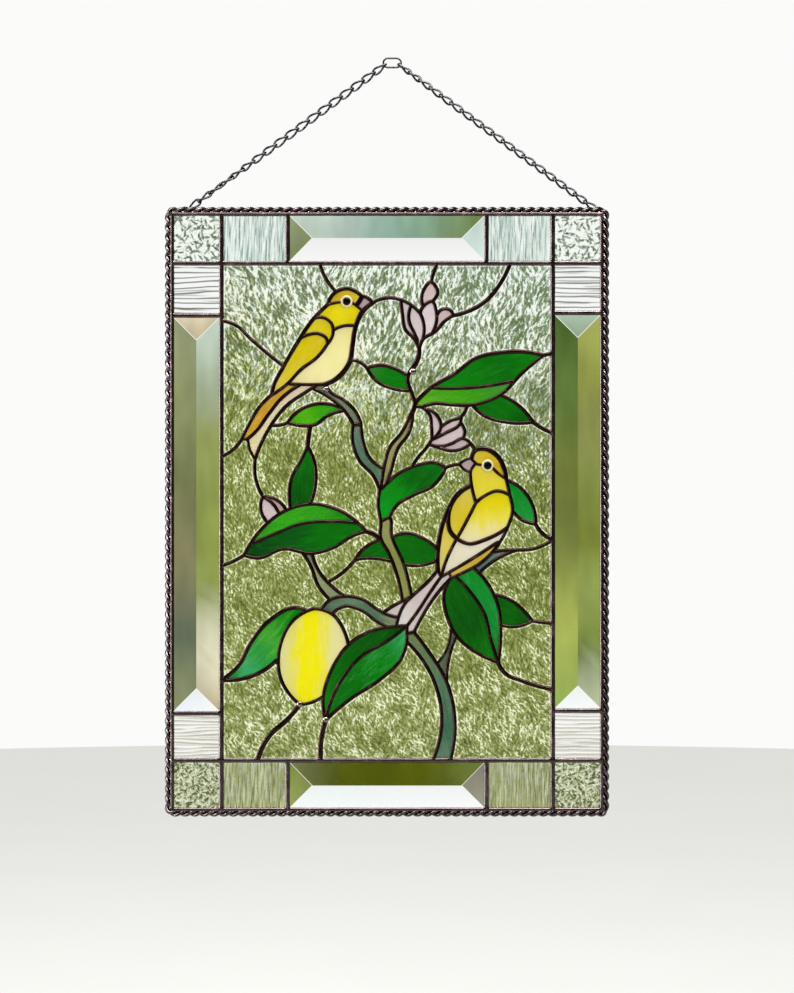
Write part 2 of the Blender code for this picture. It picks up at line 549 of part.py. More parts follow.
def panel_openings():
    """Openings in the solder, to the micrometre: by name for separate panes, and a list of the rest."""
    points = {name: tuple(np.array(place) + PICTURE_SHIFT) for name, (*place, _) in PANES.items()}
    points.update(border_panes())
    named, rest = {}, []
    for loop, widths in trace_loops(cut_at_joints(all_seams())):
        opening = np.round(simplify(inset(loop, np.array(widths) / 2)), 3)
        found = [name for name, (x, z) in points.items() if is_inside(np.array(loop), x, z)]
        if found:
            named[found[0]] = opening
        else:
            rest.append(opening)
    return named, rest


def linear_colour(text):
    """An sRGB hex colour as the linear values that a material takes."""
    values = [int(text[i:i + 2], 16) / 255 for i in (0, 2, 4)]
    return [v / 12.92 if v <= 0.04045 else ((v + 0.055) / 1.055) ** 2.4 for v in values] + [1.0]


def finish(obj, name):
    """Give an object a Principled material of its own."""
    colour, roughness, metallic = FINISHES[name]
    material = bpy.data.materials.new(obj.name)
    material.use_nodes = True
    shader = material.node_tree.nodes["Principled BSDF"]
    shader.inputs["Base Color"].default_value = linear_colour(colour)
    shader.inputs["Roughness"].default_value = roughness
    shader.inputs["Metallic"].default_value = metallic
    obj.data.materials.append(material)


def add_object(name, data, collection, parent=None, location=(0, 0, 0)):
    """An object in a collection, placed under its parent."""
    obj = bpy.data.objects.new(name, data)
    collection.objects.link(obj)
    obj.parent = parent
    obj.location = location
    return obj


def flat_curve(name, outlines, thickness):
    """A filled 2D curve of closed outlines in millimetres, with a thickness."""
    curve = bpy.data.curves.new(name, "CURVE")
    curve.dimensions = "2D"
    curve.fill_mode = "BOTH"
    curve.extrude = thickness / 2 * MM
    for outline in outlines:
        add_spline(curve, [(x, z, 0) for x, z in outline])
    return curve


def wire_curve(name, lines, radius, resolution):
    """A round wire along closed lines in millimetres."""
    curve = bpy.data.curves.new(name, "CURVE")
    curve.dimensions = "3D"
    curve.fill_mode = "FULL"
    curve.bevel_depth = radius * MM
    curve.bevel_resolution = resolution
    for line in lines:
        add_spline(curve, line)
    return curve


def add_spline(curve, points):
    """A closed spline of straight sides."""
    spline = curve.splines.new("POLY")
    spline.points.add(len(points) - 1)
    for target, point in zip(spline.points, points):
        target.co = (*(value * MM for value in point), 1)
    spline.use_cyclic_u = True


def made_mesh(obj):
    """The curve object turned into a mesh object of the same name, place and parent."""
    bpy.context.view_layer.update()
    evaluated = obj.evaluated_get(bpy.context.evaluated_depsgraph_get())
    mesh = bpy.data.meshes.new_from_object(evaluated)
    shape = bmesh.new()
    shape.from_mesh(mesh)
    bmesh.ops.remove_doubles(shape, verts=shape.verts, dist=0.00001)
    shape.to_mesh(mesh)
    shape.free()
    name, collection, parent, place = obj.name, obj.users_collection[0], obj.parent, obj.matrix_world.copy()
    bpy.data.objects.remove(obj)
    mesh.name = name
    solid = add_object(name, mesh, collection, parent)
    solid.matrix_world = place
    return solid


def join_to(obj, addition):
    """Fuse an addition to an object."""
    addition.hide_render = True
    addition.display_type = "WIRE"
    modifier = obj.modifiers.new(addition.name, "BOOLEAN")
    modifier.operation = "UNION"
    modifier.solver = "EXACT"
    modifier.object = addition


def solder_lattice(model, panel, named, rest):
    """The copper foil and solder between all the panes, with the ground, stems and blossoms in it."""
    reach = BORDER + OUTER_FOIL
    middle = np.array((FIELD_W, FIELD_H)) / 2
    right, top = middle + reach
    cut_right, cut_top = right - RIM_CHAMFER, top - RIM_CHAMFER
    half = [(right, cut_top), (cut_right, top), (-cut_right, top), (-right, cut_top)]
    rim = middle + np.array(half + [(-x, -z) for x, z in half])
    curve = flat_curve("solder_lattice", [rim, *named.values(), *rest], SOLDER_T)
    lattice = made_mesh(add_object("solder_lattice", curve, model, panel))
    close_openings(lattice.data, rest)
    finish(lattice, "patina")


def close_openings(mesh, openings):
    """Fill openings in the lattice with glass that lies below both of its faces."""
    corners = {corner_key(point * MM) for opening in openings for point in opening}
    shape = bmesh.new()
    shape.from_mesh(mesh)
    walls = [face for face in shape.faces
             if any(vert.co.z < 0 for vert in face.verts) and any(vert.co.z > 0 for vert in face.verts)
             and all(corner_key(vert.co) in corners for vert in face.verts)]
    bmesh.ops.delete(shape, geom=walls, context="FACES")
    rims = [edge for edge in shape.edges if edge.is_boundary]
    extruded = bmesh.ops.extrude_edge_only(shape, edges=rims)["geom"]
    for vert in (item for item in extruded if isinstance(item, bmesh.types.BMVert)):
        vert.co.z = math.copysign(GLASS_T / 2 * MM, vert.co.z)
    bmesh.ops.holes_fill(shape, edges=[edge for edge in shape.edges if edge.is_boundary])
    bmesh.ops.recalc_face_normals(shape, faces=shape.faces)
    shape.to_mesh(mesh)
    shape.free()


def corner_key(place):
    """A place in the panel's plane, rounded to the micrometre."""
    return round(place[0], 6), round(place[1], 6)


def pane(model, panel, name, opening, colour):
    """A flat piece of glass in its opening."""
    outline = inset(opening, np.full(len(opening), GAP))
    middle = outline.mean(axis=0)
    curve = flat_curve(name, [outline - middle], GLASS_T)
    obj = add_object(name, curve, model, panel, (*(middle * MM), 0))
    finish(obj, colour)


def bevel(model, panel, name, opening):
    """A peaked bevel: flat behind, with mitred facets that rise to a ridge along its front."""
    low, high = opening.min(axis=0) + GAP, opening.max(axis=0) - GAP
    size, middle = high - low, (low + high) / 2
    draw_in = size.min() / 2 * MM
    shape = bmesh.new()
    block = Matrix.Diagonal((size[0] * MM, size[1] * MM, GLASS_T * MM, 1))
    bmesh.ops.create_cube(shape, size=1, matrix=block)
    front = max(shape.faces, key=lambda face: face.calc_center_median().z)
    extruded = bmesh.ops.extrude_face_region(shape, geom=[front])["geom"]
    bmesh.ops.delete(shape, geom=[front], context="FACES_ONLY")
    for vert in (item for item in extruded if isinstance(item, bmesh.types.BMVert)):
        vert.co.x -= math.copysign(draw_in, vert.co.x)
        vert.co.y -= math.copysign(draw_in, vert.co.y)
        vert.co.z += RIDGE_RISE * MM
    bmesh.ops.remove_doubles(shape, verts=shape.verts, dist=0.00001)
    mesh = bpy.data.meshes.new(name)
    shape.to_mesh(mesh)
    shape.free()
    obj = add_object(name, mesh, model, panel, (*(middle * MM), 0))
    finish(obj, "clear")


def twisted_wire_edge(model, panel):
    """The rope of two twisted wires round the panel, with rounded corners."""
    reach = BORDER + OUTER_FOIL + GAP + ROPE_R - ROPE_CORNER_R
    line = []
    for corner, (x, z) in enumerate(((FIELD_W + reach, FIELD_H + reach), (-reach, FIELD_H + reach),
                                     (-reach, -reach), (FIELD_W + reach, -reach))):
        for i in range(ROPE_CORNER_STEPS + 1):
            angle = math.pi / 2 * (corner + i / ROPE_CORNER_STEPS)
            line.append((x + ROPE_CORNER_R * math.cos(angle), z + ROPE_CORNER_R * math.sin(angle), 0))
    rope = add_object("twisted_wire_edge", wire_curve("twisted_wire_edge", [line], ROPE_R, 1), model, panel)
    finish(rope, "patina")


def hanging_ring(model, guides, panel, side):
    """A ring behind the top edge, with the bead of solder that fixes it to the lattice."""
    place = (RING_X[side] * MM, RING_Z * MM, -RING_BACK * MM)
    bpy.ops.mesh.primitive_torus_add(major_radius=RING_R * MM, minor_radius=RING_WIRE_R * MM,
                                     major_segments=12, minor_segments=5)
    ring = bpy.context.object
    ring.name = ring.data.name = f"ring_{side}"
    bead_shape = bmesh.new()
    bmesh.ops.create_uvsphere(bead_shape, u_segments=6, v_segments=4, radius=RING_BEAD_R * MM)
    bead_mesh = bpy.data.meshes.new(f"ring_bead_{side}")
    bead_shape.to_mesh(bead_mesh)
    bead_shape.free()
    below = (place[0], place[1] - RING_R * MM, place[2])
    bead = add_object(f"ring_bead_{side}", bead_mesh, guides, panel, below)
    for collection in ring.users_collection:
        collection.objects.unlink(ring)
    model.objects.link(ring)
    ring.parent = panel
    ring.location = place
    ring.data.shade_smooth()
    join_to(ring, bead)
    finish(ring, "patina")


def link_outline(length, width):
    """Six points round a link with flat ends."""
    half, side = length / 2, width / 2
    top = [(half, LINK_END * side), (0, side), (-half, LINK_END * side)]
    return top + [(-x, -z) for x, z in top]


def chain_run(model, guides, side):
    """A run of chain from a ring to the top link, as one body of links that bite into each other."""
    way = 1 if side == "left" else -1
    ring = Vector((RING_X[side] - HANG[0], RING_BACK, RING_Z - HANG[1]))
    bend = Vector((-way * (TOP_LINK_L - TOP_LINK_W) / 2, 0, 0))
    along = (bend - ring).normalized()
    start = ring + along * (RING_R - HOOKED_IN)
    end = bend - along * (TOP_LINK_W / 2 - TOP_LINK_WIRE_R - HOOKED_IN)
    length = (end - start).length
    up = (Vector((0, 0, 1)) - along * along.z).normalized()
    pitch = (length - LINK_BITE) / LINKS[side]
    shares, turns = zip(*LINK_TURNS[side])
    outline = link_outline(pitch + LINK_BITE, LINK_W)
    halves = ([], [])
    for i in range(LINKS[side]):
        swing = -LINK_SWING if i % 2 else LINK_SWING
        turn = math.radians(np.interp(i / (LINKS[side] - 1), shares, turns) + swing) * way
        middle = LINK_BITE / 2 + (i + 0.5) * pitch
        halves[i % 2].append([(middle + x, z * math.cos(turn), z * math.sin(turn)) for x, z in outline])
    frame = Matrix((along, up, along.cross(up))).transposed().to_4x4()
    place = Matrix.Translation(start * MM) @ frame
    bodies = []
    for name, collection, links in ((f"chain_{side}", model, halves[0]),
                                    (f"chain_links_{side}", guides, halves[1])):
        obj = add_object(name, wire_curve(name, links, LINK_WIRE_R, 0), collection)
        obj.matrix_world = place
        bodies.append(made_mesh(obj))
    join_to(*bodies)
    finish(bodies[0], "gunmetal")


def oval(length, width):
    """Points round a link with half-round ends."""
    radius = width / 2
    angles = [math.pi * (i / LINK_END_STEPS - 0.5) for i in range(LINK_END_STEPS + 1)]
    end = [(length / 2 - radius + radius * math.cos(angle), radius * math.sin(angle)) for angle in angles]
    return end + [(-x, -z) for x, z in end]


def top_link(model):
    """The link that the hook passes through, lying across between the two runs of chain."""
    thickness = 2 * TOP_LINK_WIRE_R
    line = [(x, 0, z) for x, z in oval(TOP_LINK_L - thickness, TOP_LINK_W - thickness)]
    link = add_object("top_link", wire_curve("top_link", [line], TOP_LINK_WIRE_R, 1), model)
    finish(link, "gunmetal")


def main():
    """Build the panel and its chain."""
    for obj in list(bpy.data.objects):
        bpy.data.objects.remove(obj)
    model = bpy.data.collections.new("stained_glass_panel")
    guides = bpy.data.collections.new("fused_pieces")
    bpy.context.scene.collection.children.link(model)
    bpy.context.scene.collection.children.link(guides)

    panel = add_object("panel_frame", None, model, location=(-HANG[0] * MM, 0, -HANG[1] * MM))
    panel.rotation_euler = (math.pi / 2, 0, 0)
    bpy.context.view_layer.update()

    named, rest = panel_openings()
    solder_lattice(model, panel, named, rest)
    for name, opening in named.items():
        if name.startswith("bevel"):
            bevel(model, panel, name, opening)
        else:
            pane(model, panel, name, opening, PANES[name][-1] if name in PANES else "clear")
    twisted_wire_edge(model, panel)
    for side in ("left", "right"):
        hanging_ring(model, guides, panel, side)
        chain_run(model, guides, side)
    top_link(model)


main()
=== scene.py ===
"""Stained glass panel of songbirds on a lemon branch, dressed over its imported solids.

The panel is drawn in millimetres, x to the right and z up, from the lower left corner of the picture
field. Seams are smooth curves through a few points each. Where they meet they close round the pieces of
glass, and the solder beads and every pane come from those loops. The row frame is in metres: its origin
is the middle of the top link's eye, the panel's front faces -Y, and +Z is up.
"""
import logging
import math
from dataclasses import dataclass, field
from enum import Enum
from typing import Any, Callable, Iterable, NamedTuple

import bmesh
import bpy
import numpy as np
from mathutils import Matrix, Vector
from mathutils.geometry import delaunay_2d_cdt


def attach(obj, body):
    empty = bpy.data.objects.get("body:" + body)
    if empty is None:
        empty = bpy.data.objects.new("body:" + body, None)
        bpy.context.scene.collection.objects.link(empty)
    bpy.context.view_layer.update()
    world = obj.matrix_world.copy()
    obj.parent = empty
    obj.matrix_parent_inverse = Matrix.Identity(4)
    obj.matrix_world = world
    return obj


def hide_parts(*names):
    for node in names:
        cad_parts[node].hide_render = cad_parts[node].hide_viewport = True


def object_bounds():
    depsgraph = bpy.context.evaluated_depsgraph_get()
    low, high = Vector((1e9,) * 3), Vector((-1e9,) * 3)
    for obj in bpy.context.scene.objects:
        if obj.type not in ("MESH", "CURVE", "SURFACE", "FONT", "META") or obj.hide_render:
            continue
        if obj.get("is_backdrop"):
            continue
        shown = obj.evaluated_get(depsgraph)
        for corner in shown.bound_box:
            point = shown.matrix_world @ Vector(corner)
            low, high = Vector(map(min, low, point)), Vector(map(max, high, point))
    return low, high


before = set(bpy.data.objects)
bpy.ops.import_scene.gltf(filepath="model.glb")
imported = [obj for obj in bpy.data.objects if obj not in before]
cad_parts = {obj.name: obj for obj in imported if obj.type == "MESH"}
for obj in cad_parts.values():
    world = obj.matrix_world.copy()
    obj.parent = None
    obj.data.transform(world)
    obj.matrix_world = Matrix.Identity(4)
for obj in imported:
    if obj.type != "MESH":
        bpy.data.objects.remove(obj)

log = logging.getLogger("stained_glass_panel")

MM = 0.001
ROOT = "root"
# Where the hook passes through, on the drawing
HANG = np.array((130.9, 534.7))
# How far the picture lies off the middle of its field
PICTURE_SHIFT = np.array((0.8, -0.3))
# The border's width, the field's width and height, and the length of the blocks beside the corners
BORDER, FIELD_W, FIELD_H, BLOCK_W = 38.1, 254.0, 381.0, 50.8
# How much lower the left bevel lies than the right one
LEFT_BEVEL_DROP = 2.0
GLASS_T = 3.0

Array = np.ndarray
Colour = tuple[float, float, float, float]


class SeamWidth(float, Enum):
    """How wide a seam shows, in millimetres."""

    THIN = 2.3
    FINE = 2.8
    MEDIUM = 3.2
    STOUT = 3.8
    BORDER = 3.6
    EDGE = 3.8


THIN, FINE, MEDIUM, STOUT = list(SeamWidth)[:4]


class Sheet(Enum):
    """The sheets of glass that the panes are cut from, by the record's material slot."""

    GOLD = "gold_glass"
    YELLOW = "yellow_glass"
    STRAW = "straw_glass"
    AMBER = "amber_glass"
    CREAM = "cream_glass"
    PETAL = "petal_glass"
    DARK_GREEN = "dark_green_glass"
    BRIGHT_GREEN = "bright_green_glass"
    EMERALD = "emerald_glass"
    LEMON = "lemon_glass"
    STEM = "stem_glass"
    HAMMERED = "hammered_glass"
    GLUE_CHIP = "glue_chip_glass"
    REEDED = "reeded_glass"
    BEVEL = "bevel_glass"


# Every seam of the picture: its width, and the points x,z that its smooth curve passes through, in
# millimetres from the lower left corner of the field
SEAMS: dict[str, tuple[SeamWidth, str]] = {
    # Seams that tie the figures to the border
    "tie_top_left": (FINE, "74.5,381 79,370 87,359.7"),
    "tie_top_flower": (FINE, "164.5,381 161.5,373 160,367"),
    "tie_top_right": (MEDIUM, "220.5,381 215,369 200,351 186,343.6 177,341.3"),
    "tie_left_back": (FINE, "-0.8,337.3 10,334 22,323 34,312.6 47,302.3"),
    "tie_left_tail": (FINE, "-0.8,233.2 7,237.5 14.8,246.5"),
    "tie_left_leaf": (FINE, "-0.8,149.6 8,152.7 16.5,157.5"),
    "tie_great_leaf": (MEDIUM, "246,310.8 253.2,312.3"),
    "tie_right_leaf": (MEDIUM, "238,259.6 245,255 253.2,251.2"),
    "tie_back_leaf": (MEDIUM, "240,181.5 244.5,175 253.2,169.4"),
    "tie_low_leaf": (FINE, "237.5,107.2 245,106 253.2,105.5"),
    "tie_hanging_leaf": (MEDIUM, "211.3,75.5 216,67.5 230,61 253.2,54.6"),
    "tie_lemon": (STOUT, "59.3,43 50,31.8 36,19 26.8,0.3"),
    "tie_lemon_leaf": (STOUT, "79,31 76,18 75.2,0.3"),
    # Bird at the upper left, looking right
    "left_back": (MEDIUM, "80.6,349.4 70.4,339.3 57.5,320.5 46.5,301.5 39.5,288 37.6,280.3"),
    "left_crown": (MEDIUM, "80.6,349.4 87,359.3 96,361.9 103.4,359 107,356.3 "
                           "110.4,355.2 113.2,353.3 114.8,350.6"),
    "left_chest": (STOUT, "114.8,350.6 107.5,344.3 102,332.5 99.6,318 97.8,306.8 90.5,295.5 79,288.6"),
    "left_cheek": (THIN, "80.6,349.4 90,351.4 99,351.2 103.4,348.2 107.3,345"),
    "left_bill": (STOUT, "107,356.3 105.6,353.2 102.6,348.9"),
    "left_throat": (FINE, "84.9,330 91,332.8 102,333.3"),
    "left_shoulder": (FINE, "69.5,338.8 77,339.8 83.6,335 84.4,326 80.4,319.3"),
    "left_coverts": (FINE, "60,323.9 66,326.6 74,327.2 79.5,323.8 80.4,319.3"),
    "left_wing": (FINE, "80.4,319.3 73,309.6 60,299.6 50,289 37.6,280.3"),
    "left_vent": (FINE, "50.3,288.9 65,288.3 79,288.6"),
    "left_tail_back": (FINE, "37.6,280.3 28,270.6 20.8,258.5 14.8,246.5"),
    "left_tail_mid": (FINE, "60,288.3 46,278.4 35,265 25,251.6 18.6,246.2"),
    "left_tail_low": (FINE, "73,288.2 64,282.6 49,272 38.5,259 30.5,245 25,231"),
    "left_tail_tip": (THIN, "14.8,246.5 18.6,246.2 20.6,239.5 25,231"),
    # Bird at the lower right, looking left
    "right_crown": (STOUT, "190.8,231.6 194,238 202,238.9 211,233.2 215.8,224 217.3,216"),
    "right_cheek": (THIN, "190.8,231.6 194.4,227.9 205,226 211,220.4 217.3,216"),
    "right_bill_top": (THIN, "181.8,227.3 186.5,230.7 190.8,231.6"),
    "right_bill_low": (THIN, "181.8,227.3 186,222.8 190,221.4"),
    "right_bill_root": (THIN, "194.4,227.9 191.6,224.6 190,221.4"),
    "right_throat": (FINE, "190,221.4 190.9,211 194.3,197.8"),
    "right_nape": (FINE, "194.3,197.8 201,203 210,206.7 220,203.6"),
    "right_side": (FINE, "217.3,216 220,204.5 222.3,192 218.5,178.8 209.5,163"),
    "right_wing_edge": (FINE, "194.3,197.8 187.8,185 179.8,170.3"),
    "right_wing_low": (MEDIUM, "179.8,170.3 189,166.3 201,169.3 218.5,178.8"),
    "left_wing_back": (STOUT, "190.8,211 182.5,206 175.4,196.7 173,186 174.8,175.5 179.8,170.3"),
    "right_flank": (STOUT, "175.4,196.7 169,182 165.5,165 165,146"),
    "right_rump": (FINE, "179.8,170.3 174,159.4 167.6,141"),
    "right_rump_low": (FINE, "211.7,168.2 199.5,160 181,148.6 167.6,141"),
    "right_strip_low": (FINE, "209.5,163 198,151.6 187,145.4 175.5,140.3"),
    "right_tail_left": (FINE, "165,146 157,136.6 147.5,128 140,120.6 135.6,112 133.2,103"),
    "right_tail_mid": (FINE, "167.6,141 158.5,128 149,113.5 141.5,103.4"),
    "right_tail_low": (FINE, "175.5,140.3 163,126 152.5,109.6 146.8,98.4"),
    "right_feather": (FINE, "145.4,126.3 138.6,122.8 131,118.7 123.4,113.6"),
    "right_flank_end": (FINE, "165,146 167.6,141"),
    "right_strip_end": (THIN, "175.5,140.3 173.4,144.2"),
    # Upper blossom and its bud
    "stem_bill": (FINE, "114.8,350.6 121,353.8 130,354.8 141,351.5 151.5,343"),
    "upper_petal_1_left": (FINE, "136.8,353.4 138,342 140,330.8 147.5,322.6 150.8,314"),
    "upper_petal_1_right": (FINE, "144.6,348.9 143.2,336 146.5,329 150.3,320.5"),
    "upper_petal_2_right": (FINE, "151.5,343 154.5,333 153.5,322.6"),
    "upper_petal_3": (FINE, "151.5,343 155,349.3 160.8,352 163.8,345 163.4,334 160.8,327.8"),
    "upper_petal_4": (FINE, "163.9,339.5 168,345.8 173.5,346 177,341.3"),
    "upper_petal_low": (FINE, "177,341.3 170.5,337 164,329.6 153.5,322.6 150.8,314"),
    "upper_bud": (FINE, "153.8,348 152.9,357 160,367 164.9,359.5 160.8,352"),
    "stem_upper_flower": (STOUT, "150.8,314 149.8,308 144.6,299.5"),
    # Leaves at the top
    "chest_leaf_top": (FINE, "110.8,300.9 121,303.2 132,300.6 141.2,295.6"),
    "chest_leaf_low": (FINE, "110.8,300.9 119.5,290 130,285.5 143.6,283.7"),
    "tie_chest_leaf": (FINE, "98.2,307.2 103.5,306.3 110.8,300.9"),
    "stem_chest_leaf": (MEDIUM, "144.6,299.5 141.8,293 145,282 147.8,274"),
    "great_leaf_top": (MEDIUM, "147.8,274 160,286 178,296.6 194,308.4 215,313 233,313.3 246,310.8"),
    "great_leaf_low": (FINE, "246,310.8 231,298.3 213,280.4 193,273 176,272.8 162,273.7 152.5,271"),
    "great_leaf_vein": (FINE, "160,286 178,285.4 200,287 222.3,291"),
    "right_leaf_top": (FINE, "213,280.4 224,274.6 238,259.6"),
    "right_leaf_low": (FINE, "191.5,272.6 202,263.8 216,259.8 238,259.6"),
    # Lower blossom
    "stem_right": (STOUT, "147.8,274 145.6,267 143,262.8"),
    "stem_lower_flower": (FINE, "144.5,223.6 150,232.6 157,240.6 160.4,246"),
    "lower_petal_1_left": (FINE, "147.2,271.3 152.5,271 158.6,265.5 160.3,255 160.4,246"),
    "lower_petal_1_right": (FINE, "156.8,269.6 165,263.8 167.4,256.6 160.4,246"),
    "lower_petal_2_top": (FINE, "167.2,255.6 175,260.6 182.6,263.4 187.6,272.4"),
    "lower_petal_3_top": (FINE, "160.4,246 171,251.2 182.4,259 182.8,263.6"),
    "lower_petal_3_end": (FINE, "182.4,259 185.6,252 184.3,247"),
    "lower_petal_4_top": (FINE, "158.6,242.5 169,241.2 176,243.2 184.3,247 190.3,243"),
    "lower_petal_4_low": (FINE, "158.6,242.5 166,240 175,237.6 190.3,243"),
    "tie_flower_crown": (MEDIUM, "190.3,243 194,238"),
    # Leaves and buds at the left
    "tail_leaf_top": (FINE, "50,259.2 62,270.2 76,273.8 90.3,270.6"),
    "tail_leaf_low": (FINE, "50,259.2 61,256.8 71,257.6 81,264.6 93.5,268.4"),
    "tie_tail_leaf": (FINE, "37.2,257.2 43.5,257.2 50,259.2"),
    "stem_upright_leaf": (STOUT, "67.3,256.8 66,249 65.2,241"),
    "upright_leaf_left": (FINE, "65.2,241 60.4,230.4 53,217 51.2,205 52.2,193"),
    "upright_leaf_right": (FINE, "65.2,241 71,226 71,210 67,196.4"),
    "stem_bud": (FINE, "25,231 24.8,220 31,202.4"),
    "bud_left": (FINE, "31,202.4 29.2,194 34.3,183"),
    "bud_mid": (FINE, "31,202.4 38.5,197 43.6,188.8"),
    "bud_right": (FINE, "31,202.4 40,200.8 49,191.8"),
    "long_leaf_top": (FINE, "16.5,157.5 30.5,178 48,191.5 68,196.7 88,192.5 110,175.8"),
    "long_leaf_vein": (FINE, "24.2,166.6 42,174.8 60,181.5 80,183.4 103.5,182"),
    "long_leaf_low": (FINE, "16.5,157.5 27,155.4 47,162.4 68,158.9 86,163.8 100,172.4 110,175.8"),
    "tie_long_leaf": (STOUT, "110,175.8 116,173.6 121,169.4"),
    # Leaves about the trunk
    "middle_leaf_top": (FINE, "120.5,207 125.2,211.4 133,218.7 150,226.6 164,228.2 171,224.6"),
    "middle_leaf_low": (FINE, "171,224.6 161,210.4 147,203.9 134,196 127.8,186"),
    "tie_bill": (FINE, "171,224.6 176,226.4 181.8,227.3"),
    "trunk_leaf_left_top": (FINE, "101.5,154 110,163.8 121,169.4"),
    "trunk_leaf_left_low": (FINE, "101.5,154 113,155.3 129.8,152.6"),
    "tie_trunk_leaf_left": (FINE, "101.5,154 92,144 81,137.2"),
    "trunk_leaf_right_top": (FINE, "130.6,171.6 142,174.3 154,170.4 165.4,161.5"),
    "trunk_leaf_right_low": (FINE, "139,150.6 150,149.7 165,153.8"),
    "back_leaf_top": (FINE, "217.6,215.4 229,208.6 238,195 240,181.5"),
    "back_leaf_low": (FINE, "223,191 230,184.4 240,181.5"),
    # Branches and trunk
    "branch_1_top": (FINE, "79,288.6 83.5,281.9 92,277.2 102.5,266.8 106.2,257.6"),
    "branch_1_low": (FINE, "69.5,285.2 80,279.7 93,268.8 100.3,257.6"),
    "branch_joint": (MEDIUM, "100.3,257.6 106.2,257.6"),
    "branch_2_right": (FINE, "106.2,257.6 107.6,245.5 112.5,232.6 123,224"),
    "branch_2_left": (FINE, "100.3,257.6 99.8,244 105,230 116,217.8 120.5,207"),
    "trunk_left": (FINE, "143,262.8 137,251 128.5,240.6 124,226 121.9,213 120.5,207"),
    "trunk_right": (FINE, "145.6,267 142.5,250.6 134.6,239.6 129,222 125.2,211.4"),
    "trunk_mid_left": (FINE, "120.5,207 119.4,195 121.4,183 121,172 128,158 134.5,140 137.8,123"),
    "trunk_mid_right": (FINE, "121.4,183 127.8,186 129.6,172.8 138.8,151 144.6,127.2"),
    "fork_left": (FINE, "61,159.8 67.5,149.5 73.5,134 82.5,123.2"),
    "fork_right": (FINE, "68.5,158.8 74.5,144.4 83,134.4 94,126"),
    "bough_top": (FINE, "76,115.8 82.5,123.2 94,126 106,124.2 119,115.9 126,112.2 135,110"),
    "bough_low": (FINE, "84,112.4 94,118.4 106,115.5 118,107 127,102.2"),
    "lower_trunk_left": (FINE, "141.3,91 151,80.4 162.4,60.4 168,35 161.4,0.3"),
    "lower_trunk_right": (FINE, "146.8,98.4 158.5,83 171.6,61 178.3,28 174.6,0.3"),
    "trunk_cap": (MEDIUM, "146.8,98.4 141.3,97.8"),
    "twig_left": (THIN, "164.8,74.8 171,83.5 175,101.3"),
    "twig_right": (FINE, "171.8,60.6 173,76 179.3,95.6"),
    "right_bough_top": (FINE, "206.8,159.8 216,161.2 225,161.4 238,162.3 253.2,169.4"),
    "right_bough_low": (FINE, "196.4,143.4 207,152.5 226,161.4"),
    # Lemon and the leaves below it
    "lemon_left": (FINE, "70,116.6 55,108.3 43.8,86 44.4,64 59.3,43"),
    "lemon_right": (FINE, "70,116.6 84,112.4 93.6,98.6 96.4,89"),
    "lemon_low": (FINE, "59.3,43 67,44.3 77.4,49.4"),
    "edge_leaf_top": (MEDIUM, "-0.8,61.8 12,72.4 22,90.6 36,107.3 57,117.2 64,115.3"),
    "edge_leaf_low": (MEDIUM, "-0.8,61.8 14,62.6 30,68.3 42,77.6"),
    "lemon_leaf_top": (FINE, "79,31 77,46 83,68.4 97,89.2 113,99 133,103 141.5,103.4"),
    "lemon_leaf_vein": (FINE, "79,31 90.4,60.6 107,80.4 126,91.4 141.5,103.4"),
    "lemon_leaf_low": (FINE, "79,31 99,47.8 121,62.2 136.6,77.6 141.3,91"),
    "lemon_leaf_end": (FINE, "141.5,103.4 141.3,97.8 141.3,91"),
    # Leaves at the lower right
    "hanging_leaf_left": (FINE, "175.5,140.3 170,129 172.3,110 180,95 196,82.2 211.3,75.5"),
    "hanging_leaf_vein": (FINE, "178.5,141.2 191,128 201,112 205.6,93 211.3,75.5"),
    "hanging_leaf_right": (FINE, "192,148 202,137.5 210.8,120 213.2,98 211.3,75.5"),
    "low_leaf_top": (FINE, "208.6,127.2 220,123.5 230,115.8 237.5,107.2"),
    "low_leaf_low": (FINE, "213.2,104.2 223,102.7 237.5,107.2"),
}


class PaneSpec(NamedTuple):
    """One pane of the picture: a point inside it, its sheet, its colours and the way that they follow.

    The sheet's streaks run that way too, or turned from it by an angle of their own.
    """

    x: float
    z: float
    sheet: Sheet
    colours: str
    lie: float
    turn: float = 0.0


